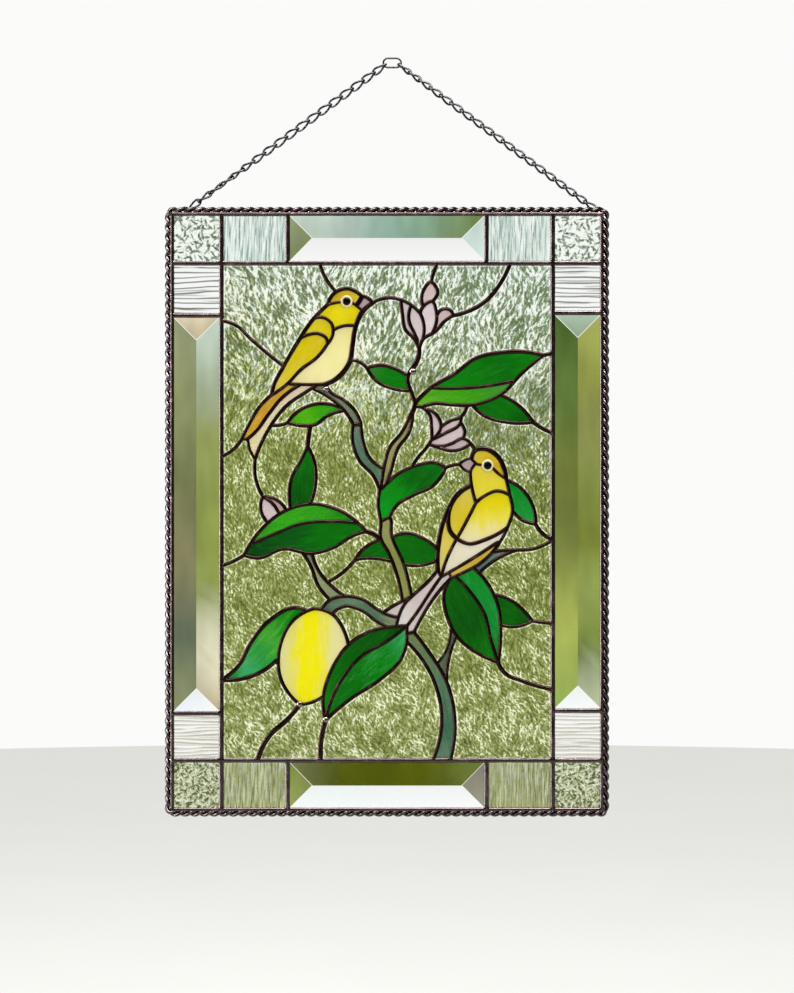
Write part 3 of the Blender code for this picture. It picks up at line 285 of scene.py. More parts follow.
# Colours are as the pane shows them against the light, evenly spread along its lie: a direction in
# degrees, counter-clockwise from the right
PANES: dict[str, PaneSpec] = {
    "left_bird_crown": PaneSpec(96, 357, Sheet.GOLD, "C8A410 D8BA1E E4CC3C", 10),
    "left_bird_face": PaneSpec(92, 342, Sheet.YELLOW, "E6D604 EBDE00 E2D004", -30),
    "left_bird_shoulder": PaneSpec(76, 333, Sheet.STRAW, "E8DA40 E4D41C DECB14", 30),
    "left_bird_wing": PaneSpec(66, 315, Sheet.STRAW, "E6D462 E0CF2A DCCC0C DDC814", 55),
    "left_bird_belly": PaneSpec(85, 310, Sheet.CREAM, "F2E5A8 F8F0B0 F7F0AA F2E89C", 60),
    "left_bird_tail_top": PaneSpec(28, 262, Sheet.AMBER, "D9B238 CFA230 D8AE40", 50),
    "left_bird_tail_low": PaneSpec(28, 250, Sheet.CREAM, "F0E3AE EFE0BC E6D3B6", 50),
    "left_bird_bill": PaneSpec(109, 351, Sheet.PETAL, "B9A2A8 C2ABB0", 0),
    "right_bird_crown": PaneSpec(205, 233, Sheet.GOLD, "E0C83C DABE28 CEAA22", -20),
    "right_bird_face": PaneSpec(202, 215, Sheet.YELLOW, "ECDC5C E9DB3A E6D64A", 80),
    "right_bird_near_wing": PaneSpec(205, 190, Sheet.YELLOW, "F1E7BC F0E69A EDE24E EADC06 E8D810", 94),
    "right_bird_far_wing": PaneSpec(182, 190, Sheet.STRAW, "E0CC34 DDC934 E2D25C", 75),
    "right_bird_flank": PaneSpec(169, 165, Sheet.STRAW, "E2D290 E4D360 E0CB52", 75),
    "right_bird_rump": PaneSpec(182, 160, Sheet.CREAM, "ECDFC0 F1E9D0 F4ECDC", 45),
    "right_bird_strip": PaneSpec(195, 153, Sheet.AMBER, "E6CC56 D8B840 DFC45A", 40),
    "right_bird_bill": PaneSpec(187.5, 226.5, Sheet.PETAL, "C7AEB2 BFA5A9", 10),
    "tail_feather_1": PaneSpec(145, 116, Sheet.PETAL, "E9E3DE DCCFC9 E2D5CF", 55),
    "tail_feather_2": PaneSpec(156, 119, Sheet.PETAL, "E0D4CE DBCAC5 E3D6D2", 55),
    "tail_feather_3": PaneSpec(131, 115, Sheet.PETAL, "DED2CC E4DAD4", 30),
    "upper_bud": PaneSpec(159, 358, Sheet.PETAL, "DFCCC8 DCC7C3", 80),
    "upper_petal_1": PaneSpec(141, 342, Sheet.PETAL, "D6C5C8 DED0D3", 100),
    "upper_petal_2": PaneSpec(149, 333, Sheet.PETAL, "E3D5D8 DFCFD1", 110),
    "upper_petal_3": PaneSpec(159, 338, Sheet.PETAL, "EEE2E4 E4D6D8", 80),
    "upper_petal_4": PaneSpec(169, 341, Sheet.PETAL, "CEBAB8 D8C6C4", 40),
    "lower_petal_1": PaneSpec(164, 257, Sheet.PETAL, "DDCCCB D8C4C3", 90),
    "lower_petal_2": PaneSpec(176, 257, Sheet.PETAL, "D5C1C1 DAC8C6", 35),
    "lower_petal_3": PaneSpec(174, 247, Sheet.PETAL, "DCC9CB E0CFCF", 25),
    "lower_petal_4": PaneSpec(180, 241.5, Sheet.PETAL, "D2BDC0 D0BABD", 5),
    "side_bud_1": PaneSpec(34, 193, Sheet.PETAL, "E2D2D2 DCCAC8", 110),
    "side_bud_2": PaneSpec(42.5, 195.5, Sheet.PETAL, "D0AFA2 D2B4A8", 130),
    "chest_leaf": PaneSpec(128, 295, Sheet.DARK_GREEN, "388034 0A7C10 067410", -10),
    "great_leaf_upper": PaneSpec(205, 300, Sheet.DARK_GREEN, "0C8A10 0A7C0E 066C0E 0A8212", 20),
    "great_leaf_lower": PaneSpec(185, 279, Sheet.BRIGHT_GREEN, "68B02E 44A216 3C9A1E 44803E", 15),
    "right_leaf": PaneSpec(218, 269, Sheet.DARK_GREEN, "056A0E 06700E 05500C", -25),
    "tail_leaf": PaneSpec(70, 265, Sheet.BRIGHT_GREEN, "3CA61A 54B410 38A012 2E8E1E", 20),
    "upright_leaf": PaneSpec(61, 215, Sheet.DARK_GREEN, "05500C 065E0C 087C0E", 80),
    "long_leaf_upper": PaneSpec(60, 189, Sheet.BRIGHT_GREEN, "2E8A22 36A81A 309E1C 147E14", 8),
    "long_leaf_lower": PaneSpec(70, 171, Sheet.DARK_GREEN, "053E10 055618 04700E 046C10", 8),
    "middle_leaf": PaneSpec(145, 214, Sheet.DARK_GREEN, "0C9C26 0A8A18 056012 08721A", 40),
    "trunk_leaf_left": PaneSpec(117, 161, Sheet.DARK_GREEN, "06620E 05680E", 20),
    "trunk_leaf_right": PaneSpec(147, 161, Sheet.DARK_GREEN, "06700E 056A10 06640E", -10),
    "back_leaf": PaneSpec(231, 197, Sheet.EMERALD, "2E9A46 1E9238 0E8A24 0C7A20", 120),
    "hanging_leaf_dark": PaneSpec(185, 115, Sheet.DARK_GREEN, "047006 05540A 04600A", 110),
    "hanging_leaf_light": PaneSpec(206, 112, Sheet.EMERALD, "2E6A22 148A30 188E34 0E8A24", 110),
    "low_leaf": PaneSpec(223, 113, Sheet.DARK_GREEN, "044A0A 066410 055A10", 150),
    "edge_leaf": PaneSpec(33, 87, Sheet.BRIGHT_GREEN, "1C8A34 3CA868 2C9A40 46A634 0E8A14 0C7A10", 45),
    "lemon_leaf_upper": PaneSpec(95, 77, Sheet.DARK_GREEN, "16800E 05660C 055A0E 04480C", 50),
    "lemon_leaf_lower": PaneSpec(115, 75, Sheet.EMERALD, "0C7208 04700A 0A8414 3CAC68", 42),
    "lemon": PaneSpec(68, 80, Sheet.LEMON, "EEE8A6 ECE67E F8F000 F9F106 F2EA5A EEEAA6 F0E8AE", -1, 90),
    "branch_upper": PaneSpec(96, 272, Sheet.STEM, "6E7E62 7C8A6E 727E66", -45),
    "branch_teal": PaneSpec(103.5, 245, Sheet.STEM, "6E8066 58785F 5A7C6A 748672", 110),
    "trunk_upper": PaneSpec(131, 240, Sheet.STEM, "8E8E5A A09C66 8A8A5C", 65),
    "trunk_middle": PaneSpec(131, 162, Sheet.STEM, "929A50 8C9450 9A9C5E", 110),
    "trunk_lower": PaneSpec(172, 30, Sheet.STEM, "5E866A 3E6C50 587C60 667E5A 7A8456", 100),
    "bough_over_lemon": PaneSpec(100, 122, Sheet.STEM, "526F58 6C8A6A 5A785E 86946A", -10),
    "bough_fork": PaneSpec(74, 142, Sheet.STEM, "8E9A6C 98A078 6E8068", 120),
    "twig": PaneSpec(172, 78, Sheet.STEM, "5A6E50 50664A", 80),
    "bough_right": PaneSpec(207, 156.5, Sheet.STEM, "4E6E6C 5E7E78 7A8872", 20),
}


def smoothed(points: Array, step: float) -> Array:
    """Draw a smooth curve through the given points.

    Args:
        points: Places that the curve passes through, in millimetres.
        step: Longest way from one point of the curve to the next.

    Returns:
        The curve's points, one per line.
    """
    spans = np.linalg.norm(np.diff(points, axis=0), axis=1)
    ways = np.diff(points, axis=0) / spans[:, None]
    tangents = np.zeros_like(points)
    for i in range(1, len(points) - 1):
        tangents[i] = (ways[i - 1] * spans[i] + ways[i] * spans[i - 1]) / (spans[i - 1] + spans[i])
    straight = len(points) == 2
    tangents[0] = ways[0] if straight else 2 * ways[0] - tangents[1]
    tangents[-1] = ways[0] if straight else 2 * ways[-1] - tangents[-2]
    curve = [points[0]]
    for i, span in enumerate(spans):
        count = max(1, math.ceil(span / step))
        for u in np.arange(1, count + 1) / count:
            start = (2 * u**3 - 3 * u**2 + 1) * points[i] + (u**3 - 2 * u**2 + u) * span * tangents[i]
            end = (3 * u**2 - 2 * u**3) * points[i + 1] + (u**3 - u**2) * span * tangents[i + 1]
            curve.append(start + end)
    return np.array(curve)


def nearest_on(line: Array, point: Array) -> tuple[float, float, Array]:
    """Find the nearest place on an open line.

    Args:
        line: The line's points.
        point: Where the place is sought from.

    Returns:
        Its distance, how many points along the line it is, and the place.
    """
    starts, steps = line[:-1], np.diff(line, axis=0)
    share = np.clip(((point - starts) * steps).sum(axis=1) / (steps * steps).sum(axis=1), 0, 1)
    places = starts + steps * share[:, None]
    distances = np.linalg.norm(places - point, axis=1)
    i = int(distances.argmin())
    return float(distances[i]), i + float(share[i]), places[i]


def nearest_round(loop: Array, points: Array) -> tuple[Array, Array]:
    """Find the nearest place on a closed loop for each of many points.

    Args:
        loop: The loop's points.
        points: Where the places are sought from.

    Returns:
        The places, and how far each is.
    """
    places, distances = [], []
    sides = np.roll(loop, -1, axis=0) - loop
    lengths = np.maximum((sides * sides).sum(axis=1), 1e-12)
    for some in np.array_split(points, max(1, len(points) * len(loop) // 400_000)):
        offset = some[:, None] - loop[None]
        share = np.clip((offset * sides).sum(axis=2) / lengths, 0, 1)
        away = np.linalg.norm(offset - share[:, :, None] * sides, axis=2)
        nearest = away.argmin(axis=1)
        rows = np.arange(len(some))
        places.append(loop[nearest] + sides[nearest] * share[rows, nearest][:, None])
        distances.append(away[rows, nearest])
    return np.vstack(places), np.concatenate(distances)


def inside(loop: Array, points: Array) -> Array:
    """Tell which points lie inside a closed loop.

    Args:
        loop: The loop's points.
        points: The points in question.

    Returns:
        Whether each lies inside.
    """
    x, z = points.T
    found = np.zeros(len(points), bool)
    for (x0, z0), (x1, z1) in zip(loop, np.roll(loop, -1, axis=0)):
        if z0 != z1:
            found ^= ((z0 > z) != (z1 > z)) & (x < (x1 - x0) * (z - z0) / (z1 - z0) + x0)
    return found


def area_of(loop: Array) -> float:
    """Measure a loop's area, positive when it runs counter-clockwise."""
    x, z = np.array(loop).T
    return 0.5 * float((x * np.roll(z, -1) - np.roll(x, -1) * z).sum())


def uncrossed(loop: Array) -> Array:
    """Cut off each small knot of a loop at the crossing, where it crosses itself.

    Args:
        loop: The loop's points.

    Returns:
        The points of the loop without knots.
    """
    while True:
        sides = np.roll(loop, -1, axis=0) - loop
        offset = loop[None] - loop[:, None]
        height = sides[:, None, 0] * offset[:, :, 1] - sides[:, None, 1] * offset[:, :, 0]
        next_height = np.roll(height, -1, axis=1)
        parted = height * next_height < 0
        crossings = np.argwhere(parted & parted.T)
        if len(crossings) == 0:
            return loop
        i, j = crossings[0]
        place = loop[j] + sides[j] * height[i, j] / (height[i, j] - next_height[i, j])
        between = loop[i + 1:j + 1]
        if len(between) > len(loop) / 2:
            loop = np.vstack([place, between])
        else:
            loop = np.vstack([loop[:i + 1], place, loop[j + 1:]])


def spaced(loop: Array, step: float) -> Array:
    """Add points to a closed loop.

    Args:
        loop: The loop's points.
        step: How long its sides may be.

    Returns:
        The points of the same loop, with those that divide its long sides.
    """
    points = []
    for here, there in zip(loop, np.roll(loop, -1, axis=0)):
        count = max(1, math.ceil(float(np.linalg.norm(there - here)) / step))
        points += [here + (there - here) * i / count for i in range(count)]
    return np.array(points)


@dataclass
class Loop:
    """The loop of seam centre lines round one piece of glass, and the width of each side's seam."""

    points: Array
    widths: Array
    # Turn below which a corner counts as straight, and how far a mitre may reach for each millimetre moved
    nearly_straight: float = 0.05
    longest_mitre: float = 1.6
    # How much too near another side a point may come, in millimetres
    leeway: float = 0.06

    def inset(self, distances: Array) -> Array:
        """Move the loop inward.

        Args:
            distances: How far each of its sides moves, in millimetres.

        Returns:
            The new loop's points, without those that come too near another side.
        """
        here = self.points
        count = len(here)
        sides = np.roll(here, -1, axis=0) - here
        ways = sides / np.linalg.norm(sides, axis=1)[:, None]
        inward = np.stack([-ways[:, 1], ways[:, 0]], axis=1) * distances[:, None]
        moved = []
        for i in range(count):
            before = (i - 1) % count
            turn = ways[before][0] * ways[i][1] - ways[before][1] * ways[i][0]
            left, right = here[i] + inward[before], here[i] + inward[i]
            if abs(turn) < self.nearly_straight:
                moved.append((left + right) / 2)
                continue
            reach = ((right - left)[0] * ways[i][1] - (right - left)[1] * ways[i][0]) / turn
            corner = left + ways[before] * reach
            far = self.longest_mitre * max(distances[before], distances[i])
            if turn < 0 and math.dist(corner, here[i]) > far:
                moved += [left, right]
            else:
                moved.append(corner)
        moved = np.array(moved)
        offset = moved[:, None] - here[None]
        share = np.clip((offset * sides).sum(axis=2) / (sides * sides).sum(axis=1), 0, 1)
        nearness = np.linalg.norm(offset - share[:, :, None] * sides, axis=2) - distances
        return uncrossed(moved[nearness.min(axis=1) > -self.leeway])


@dataclass
class SeamNet:
    """The net of seams: curves that snap to each other at joints and close round the pieces of glass."""

    # Spacing of the points on curves, and on straight seams
    step: float = 1.15
    longest_side: float = 3.0
    # How far a seam's end may lie from the seam that it meets, and how near two ends are one joint
    reach: float = 3.2
    merge: float = 1.3
    # How far along a line its heading is taken
    look_ahead: float = 1.5

    def trace(self) -> list[Loop]:
        """Follow the seams round every piece of glass.

        Returns:
            The loops, counter-clockwise.
        """
        pieces = self._cut_at_joints(self._seams())
        ways, leaving = [], {}
        for width, line in pieces:
            ways += [(width, line), (width, line[::-1])]
        for k, (_, line) in enumerate(ways):
            leaving.setdefault(line[0], []).append(k)
        for ring in leaving.values():
            ring.sort(key=lambda k: self._heading(ways[k][1]))
        loops, used = [], set()
        for first in range(len(ways)):
            points, widths, k = [], [], first
            while k not in used:
                used.add(k)
                width, line = ways[k]
                points += line[:-1]
                widths += [float(width)] * (len(line) - 1)
                ring = leaving[line[-1]]
                k = ring[ring.index(k ^ 1) - 1]
            if points and area_of(points) > 0:
                loops.append(Loop(np.array(points), np.array(widths)))
        return loops

    def _seams(self) -> list[tuple[float, Array]]:
        """Lay out all the seams.

        Returns:
            Width and line of every seam, the border's first.
        """
        seams = [(width, np.array(ends, float)) for width, *ends in self._border()]
        for width, path in SEAMS.values():
            points = np.array([point.split(",") for point in path.split()], float) + PICTURE_SHIFT
            seams.append((width, smoothed(points, self.step) if len(points) > 2 else points))
        return seams

    @staticmethod
    def _border() -> list[tuple]:
        """Lay out the straight seams of the border.

        Returns:
            Width and two ends of each.
        """
        right, top = FIELD_W + BORDER, FIELD_H + BORDER
        edge, seam = SeamWidth.EDGE, SeamWidth.BORDER
        seams = [(seam, (-BORDER, z), (right, z)) for z in (0, FIELD_H)]
        seams += [(seam, (x, 0), (x, FIELD_H)) for x in (0, FIELD_W)]
        seams += [(edge, (-BORDER, z), (right, z)) for z in (-BORDER, top)]
        seams += [(edge, (x, -BORDER), (x, top)) for x in (-BORDER, right)]
        for x in (0, BLOCK_W, FIELD_W - BLOCK_W, FIELD_W):
            seams += [(seam, (x, -BORDER), (x, 0)), (seam, (x, FIELD_H), (x, top))]
        for start, end, drop in ((-BORDER, 0, LEFT_BEVEL_DROP), (FIELD_W, right, 0)):
            for z in (BORDER - drop, FIELD_H - BORDER - drop):
                seams.append((seam, (start, z), (end, z)))
        return seams

    def _cut_at_joints(self, seams: list[tuple[float, Array]]) -> list[tuple[float, list]]:
        """Cut the seams where they meet.

        Args:
            seams: Width and line of each seam.

        Returns:
            Width and points of each piece from joint to joint, none of its sides longer than allowed.
        """
        joints: list[tuple] = []
        ends = []
        for i, (_, line) in enumerate(seams):
            others = [other for j, (_, other) in enumerate(seams) if j != i]
            pair = []
            for end in (line[0], line[-1]):
                distance, _, place = min((nearest_on(other, end) for other in others),
                                         key=lambda nearest: nearest[0])
                if distance > self.reach:
                    raise ValueError(f"a seam ends loose at {end}")
                known = [k for k, joint in enumerate(joints) if math.dist(place, joint) < self.merge]
                if not known:
                    known = [len(joints)]
                    joints.append(tuple(place.tolist()))
                pair.append(known[0])
            ends.append(pair)

        pieces = []
        for (width, line), (first, last) in zip(seams, ends):
            stops = [(0.0, first), (len(line) - 1.0, last)]
            for i, place in enumerate(joints):
                distance, along, _ = nearest_on(line, np.array(place))
                # A seam only takes a joint that it passes a little nearer than two joints may lie
                on_it = distance < 0.9 * self.merge and 0 < along < len(line) - 1
                if on_it and i not in (first, last):
                    stops.append((along, i))
            stops.sort()
            for (start, a), (stop, b) in zip(stops, stops[1:]):
                between = [tuple(p) for p in line[math.ceil(start + 1e-6):math.ceil(stop - 1e-6)]]
                two = (joints[a], joints[b])
                # A point too near a joint is left out, because its side would be too short to inset
                clear = [p for p in between if min(math.dist(p, joint) for joint in two) > self.step / 2.5]
                pieces.append((width, self._filled([two[0], *clear, two[1]])))
        return pieces

    def _filled(self, line: list[tuple]) -> list[tuple]:
        """Add points to the long sides of a line.

        Args:
            line: The line's points.

        Returns:
            The points of the same line, none further from the next than allowed.
        """
        points = [line[0]]
        for here, there in zip(line, line[1:]):
            count = max(1, math.ceil(math.dist(here, there) / self.longest_side))
            for i in range(1, count):
                points.append(tuple(a + (b - a) * i / count for a, b in zip(here, there)))
            points.append(there)
        return points

    def _heading(self, line: list[tuple]) -> float:
        """Find the direction in which a line leaves its first point, taken a little way along.

        Args:
            line: The line's points.

        Returns:
            The direction in radians.
        """
        travelled = 0.0
        for here, there in zip(line, line[1:]):
            travelled += math.dist(here, there)
            if travelled > self.look_ahead:
                break
        return math.atan2(there[1] - line[0][1], there[0] - line[0][0])


@dataclass(frozen=True)
class Noise:
    """Smooth noise between 0 and 1 over a plane, the same at every run."""

    seed: int

    def _corner(self, i: Array, j: Array) -> Array:
        """Give a fixed chance value for each corner of the noise's cells."""
        value = np.sin(i * 127.1 + j * 311.7 + self.seed * 74.7) * 43758.5453
        return value - np.floor(value)

    def at(self, u: Array, v: Array) -> Array:
        """Find the noise at places.

        Args:
            u: First coordinate of each place, in cells.
            v: Second coordinate.

        Returns:
            Values between 0 and 1.
        """
        i, j = np.floor(u), np.floor(v)
        a, b = u - i, v - j
        a, b = a * a * a * (a * (6 * a - 15) + 10), b * b * b * (b * (6 * b - 15) + 10)
        low = self._corner(i, j) * (1 - a) + self._corner(i + 1, j) * a
        high = self._corner(i, j + 1) * (1 - a) + self._corner(i + 1, j + 1) * a
        return low * (1 - b) + high * b


def spokes(count: int) -> Array:
    """Give unit directions evenly round a circle, one per line."""
    angles = 2 * math.pi * np.arange(count) / count
    return np.stack([np.cos(angles), np.sin(angles)], axis=1)


def turned(x: Array, z: Array, degrees: float) -> tuple[Array, Array]:
    """Turn coordinates to ones along and across a direction, given in degrees from the right."""
    c, s = math.cos(math.radians(degrees)), math.sin(math.radians(degrees))
    return x * c + z * s, z * c - x * s


def grain(x: Array, z: Array) -> tuple[Array, Array]:
    """Find how the dimples of the clear ground lie.

    They lean to the right high up, to the left low down and in the upper left corner, and flow about
    in patches some 14 mm across.

    Args:
        x: First coordinate of each place on the drawing, in millimetres.
        z: Second coordinate.

    Returns:
        Their direction and how far they stray from it, in degrees.
    """
    corner = np.clip((90 - x) / 40, 0, 1) * np.clip((z - 285) / 25, 0, 1)
    flow = Noise(23).at(x / 13, z / 15) - 0.5
    lean = np.interp(z, (0, 150, 215, 260), (120, 114, 102, 80)) + 34 * corner + 60 * flow
    stray = np.interp(z, (0, 80, 180, 260), (84, 68, 44, 36)) + 24 * corner
    return lean, stray


@dataclass(frozen=True)
class Strokes:
    """Short tapered strokes over a plane, at most one to each square of a grid, the same at every run."""

    seed: int
    # The grid's spacing and half the length and width of a stroke, in millimetres
    grid: float
    half_length: float
    half_width: float
    crispness: float = 1.7
    # Share of the squares that hold a stroke
    share: float = 1.0
    lie: Callable[[Array, Array], tuple] = lambda x, z: (0.0, 180.0)

    def _chance(self, i: Array, j: Array, kind: int) -> Array:
        """Give a fixed chance value for each square."""
        value = np.sin(i * 91.7 + j * 263.3 + self.seed * 17.9 + kind * 41.3) * 24634.6345
        return value - np.floor(value)

    def cover(self, x: Array, z: Array) -> Array:
        """Tell how far inside a stroke each place is.

        Args:
            x: First coordinate of each place, in millimetres.
            z: Second coordinate.

        Returns:
            Values from 0, outside all strokes, to 1 along the middle of one.
        """
        best = np.zeros(len(x))
        own_i, own_j = np.floor(x / self.grid), np.floor(z / self.grid)
        span = max(1, math.ceil(self.half_length / self.grid))
        for di in range(-span, span + 1):
            for dj in range(-span, span + 1):
                i, j = own_i + di, own_j + dj
                middle_x = (i + self._chance(i, j, 1)) * self.grid
                middle_z = (j + self._chance(i, j, 2)) * self.grid
                lean, stray = self.lie(middle_x, middle_z)
                angle = np.radians(lean + stray * (self._chance(i, j, 3) - 0.5))
                size = 0.65 + 0.7 * self._chance(i, j, 4)
                dx, dz = x - middle_x, z - middle_z
                along = (dx * np.cos(angle) + dz * np.sin(angle)) / (self.half_length * size)
                across = (dz * np.cos(angle) - dx * np.sin(angle)) / (self.half_width * size)
                held = self._chance(i, j, 5) < self.share
                best = np.maximum(best, np.where(held, 1 - along * along - across * across, 0))
        return np.clip(self.crispness * best, 0, 1)


class Relief(Enum):
    """How the front of a sheet was rolled: its mesh's spacing and its depth, in millimetres."""

    HAMMERED = (0.65, 0.3)
    GLUE_CHIP = (0.55, 0.3)
    REEDED = (0.5, 0.2)
    RIBBED = (0.6, 0.3)
    ROLLED = (2.2, 0.05)

    def tone(self, x: Array, z: Array) -> Array:
        """Give the pattern of the relief, each made by the method that follows for its kind.

        Args:
            x: First coordinate of each place on the drawing, in millimetres.
            z: Second coordinate.

        Returns:
            How light the glass is painted at each place, from painted shade at 0 in the steepest dimples to
            painted highlight at 1. The front is pressed in by the same values.
        """
        shades = {Relief.HAMMERED: self._hammered, Relief.GLUE_CHIP: self._chipped,
                  Relief.REEDED: self._reeded, Relief.RIBBED: self._ribbed, Relief.ROLLED: self._rolled}
        return np.clip(shades[self](x, z), 0, 1)

    @staticmethod
    def _rolled(x: Array, z: Array) -> Array:
        """Give waves about 9 mm across."""
        return 0.5 + 0.5 * (Noise(61).at(x / 9, z / 9) - 0.5)

    @staticmethod
    def _hammered(x: Array, z: Array) -> Array:
        """Paint dimples with painted shade and painted glints on their rims: broad and pale high up, fine and
        deeper in painted shade below.

        Args:
            x: First coordinate of each place on the drawing, in millimetres.
            z: Second coordinate.

        Returns:
            How light the glass shows at each place.
        """
        rise = np.clip((z - 245) / 85, 0, 1)
        low = np.clip((90 - z) / 60, 0, 1)
        ragged_x = x + 0.9 * (Noise(17).at(x / 1.3, z / 1.6) - 0.5)
        ragged_z = z + 0.9 * (Noise(22).at(x / 1.6, z / 1.3) - 0.5)
        patch = Noise(16).at(x / 7, z / 8) - 0.5
        wide = Noise(15).at(x / 22, z / 20) - 0.5
        # Painted dark dimples about 8 mm long and 2.4 mm wide, with painted shade in creases and painted
        # glints 3 to
        # 5 mm long and 1 mm wide.
        # The finest of the real sheet are below a pixel, and are drawn as coarse as they need to show
        dimples = Strokes(18, 3.8, 3.8, 1.2, 3.0, 0.95, grain).cover(ragged_x, ragged_z)
        painted_crease_shade = Strokes(19, 2.3, 2.6, 0.48, 3.0, 0.8, grain).cover(ragged_x, ragged_z)
        long_painted_glints = Strokes(20, 2.4, 2.0, 0.48, 3.0, 0.62, grain).cover(ragged_x, ragged_z)
        short_painted_glints = Strokes(24, 1.9, 1.3, 0.42, 3.2, 0.6, grain).cover(ragged_x, ragged_z)
        middle = np.clip((z - 70) / 40, 0, 1) * (1 - rise)
        glints = long_painted_glints + (short_painted_glints - long_painted_glints) * middle
        along, across = turned(x, z, 96)
        # Painted light: lighter toward the top and a little toward the bottom, lighter to the left high up,
        # painted shade in the dimples and creases, and painted glints brightest of all
        shade = 0.43 + 0.11 * low + 0.52 * rise + 0.4 * (Noise(21).at(across / 0.8, along / 2.0) - 0.5)
        shade += (0.1 + 0.1 * low + 0.1 * rise) * patch + (0.08 + 0.3 * rise) * wide
        shade -= (0.0003 * np.clip((z - 60) / 80, 0, 1) + 0.0006 * rise) * (x - FIELD_W / 2)
        shade -= (0.1 + 0.55 * rise) * dimples + (0.3 + 0.16 * rise) * painted_crease_shade
        strength = 0.48 + (0.8 + 0.5 * low) * patch + 0.25 * wide + 0.05 * low
        return shade + glints * np.clip(strength, 0.08, 1)

    @staticmethod
    def _chipped(x: Array, z: Array) -> Array:
        """Paint short chips of painted shade that lie in all directions, with painted glints between them low
        down.

        Args:
            x: First coordinate of each place on the drawing, in millimetres.
            z: Second coordinate.

        Returns:
            How light the glass shows at each place.
        """
        low = np.clip((200 - z) / 200, 0, 1)
        # Chips about 6 mm long and 2 mm wide, and between them finer ones, 4 mm by 0.8 mm. The real ones
        # run finer still, and these are as coarse as they need to show
        chips = Strokes(33, 4.2, 3.0, 0.9, 2.8).cover(x, z)
        fine = Strokes(34, 3.0, 2.0, 0.42, 2.8).cover(x, z)
        glints = Strokes(36, 3.0, 2.2, 0.35, 2.8).cover(x, z)
        # Painted darker toward the bottom, with the chips as painted shade and the glints as painted
        # highlights
        shade = 1.02 - 0.3 * low - (0.7 - 0.16 * low) * chips - (0.5 - 0.1 * low) * fine
        return shade + 0.66 * low * glints + 0.3 * (Noise(35).at(x / 2.2, z / 2.2) - 0.5)

    @staticmethod
    def _reeded(x: Array, z: Array) -> Array:
        """Paint fine upright reeds of uneven width with painted shade in creases and painted highlights on
        edges, stronger high up.

        Args:
            x: First coordinate of each place on the drawing, in millimetres.
            z: Second coordinate.

        Returns:
            How light the glass shows at each place.
        """
        low = np.clip((200 - z) / 200, 0, 1)
        leaning = x + 0.03 * z + 0.5 * Noise(41).at(x / 9, z / 11)
        # Broad reeds 3 mm apart and fine ones 0.8 mm apart, which is the least that shows
        wide = Noise(42).at(leaning / 3.1, z / 34) - 0.5
        fine = Noise(43).at(leaning / 0.8, z / 9) - 0.5
        painted_crease_shade = Strokes(44, 4.6, 9.0, 0.36, 2.4, 0.9, lambda u, v: (88.0, 5.0)).cover(x, z)
        # Painted highlights along the reeds' edges
        edges = Strokes(45, 4.6, 9.0, 0.42, 2.4, 0.9, lambda u, v: (88.0, 5.0)).cover(x, z)
        strength = (0.6 + 1.3 * Noise(46).at(x / 13, z / 50)) * (1 - 0.4 * low)
        return 0.6 + 0.05 * low + 0.2 * wide + strength * (0.42 * fine - 0.5 * painted_crease_shade + 0.38 * edges)

    @staticmethod
    def _ribbed(x: Array, z: Array) -> Array:
        """Draw level ribs as painted lines of shade, a little wavy and some forking: 3.8 mm apart high up,
        fainter and
        3 mm low down.

        Args:
            x: First coordinate of each place on the drawing, in millimetres.
            z: Second coordinate.

        Returns:
            How light the glass shows at each place.
        """
        low = np.where(z < FIELD_H / 2, 1.0, 0.0)
        pitch = 3.8 - 0.8 * low
        phase = z / pitch + 0.8 * Noise(51).at(x / 46, z / 7.5) + 0.12 * Noise(52).at(x / 9, z / 5)
        shade = 0.97
        for shift, strength, seed in ((0.0, 0.85, 53), (0.45, 0.5, 54)):
            bent = phase + shift + 0.3 * Noise(seed).at(x / 34, z / 5)
            away = np.abs(bent - np.round(bent)) * pitch
            gaps = 0.9 if shift else -0.35
            broken = np.clip(2.4 * Noise(seed + 5).at(x / 24, z / 3.6) - gaps, 0, 1)
            # Each rib is a painted line of shade
            line = strength * np.exp(-(away / 0.56) ** 2) + 0.1 * np.exp(-(away / 1.2) ** 2)
            shade = shade - broken * line * (1 - 0.4 * low)
        return shade


def linear_colour(text: str) -> Colour:
    """Turn a colour into Blender's linear values.

    Args:
        text: The colour, as sRGB hex.

    Returns:
        Linear red, green and blue, and full opacity.
    """
    values = [int(text[i:i + 2], 16) / 255 for i in (0, 2, 4)]
    red, green, blue = (v / 12.92 if v <= 0.04045 else ((v + 0.055) / 1.055) ** 2.4 for v in values)
    return (red, green, blue, 1.0)


def plug(node: bpy.types.Node, **links: Any) -> bpy.types.Node:
    """Set a node's inputs.

    Args:
        node: The node.
        links: What goes into each input, by the input's name with _ for a space, or by i and its number:
            a plain value, an output of another node, or the other node itself for its first one in use.

    Returns:
        The same node.
    """
    for key, value in links.items():
        socket = node.inputs[int(key[1:]) if key[1:].isdigit() else key.replace("_", " ")]
        if isinstance(value, bpy.types.Node):
            value = next(output for output in value.outputs if output.enabled)
        if isinstance(value, bpy.types.NodeSocket):
            node.id_data.links.new(value, socket)
        else:
            socket.default_value = value
    return node


def add_node(tree: bpy.types.NodeTree, kind: str, settings: dict[str, Any] | None = None,
             **links: Any) -> bpy.types.Node:
    """Add a node with its settings and links.

    Args:
        tree: The tree that gets the node.
        kind: Blender's name for the type of node, without ShaderNode.
        settings: Properties of the node by name.
        links: What goes into its inputs, as plug takes it.

    Returns:
        The new node.
    """
    node = tree.nodes.new("ShaderNode" + kind)
    for key, value in (settings or {}).items():
        setattr(node, key, value)
    return plug(node, **links)


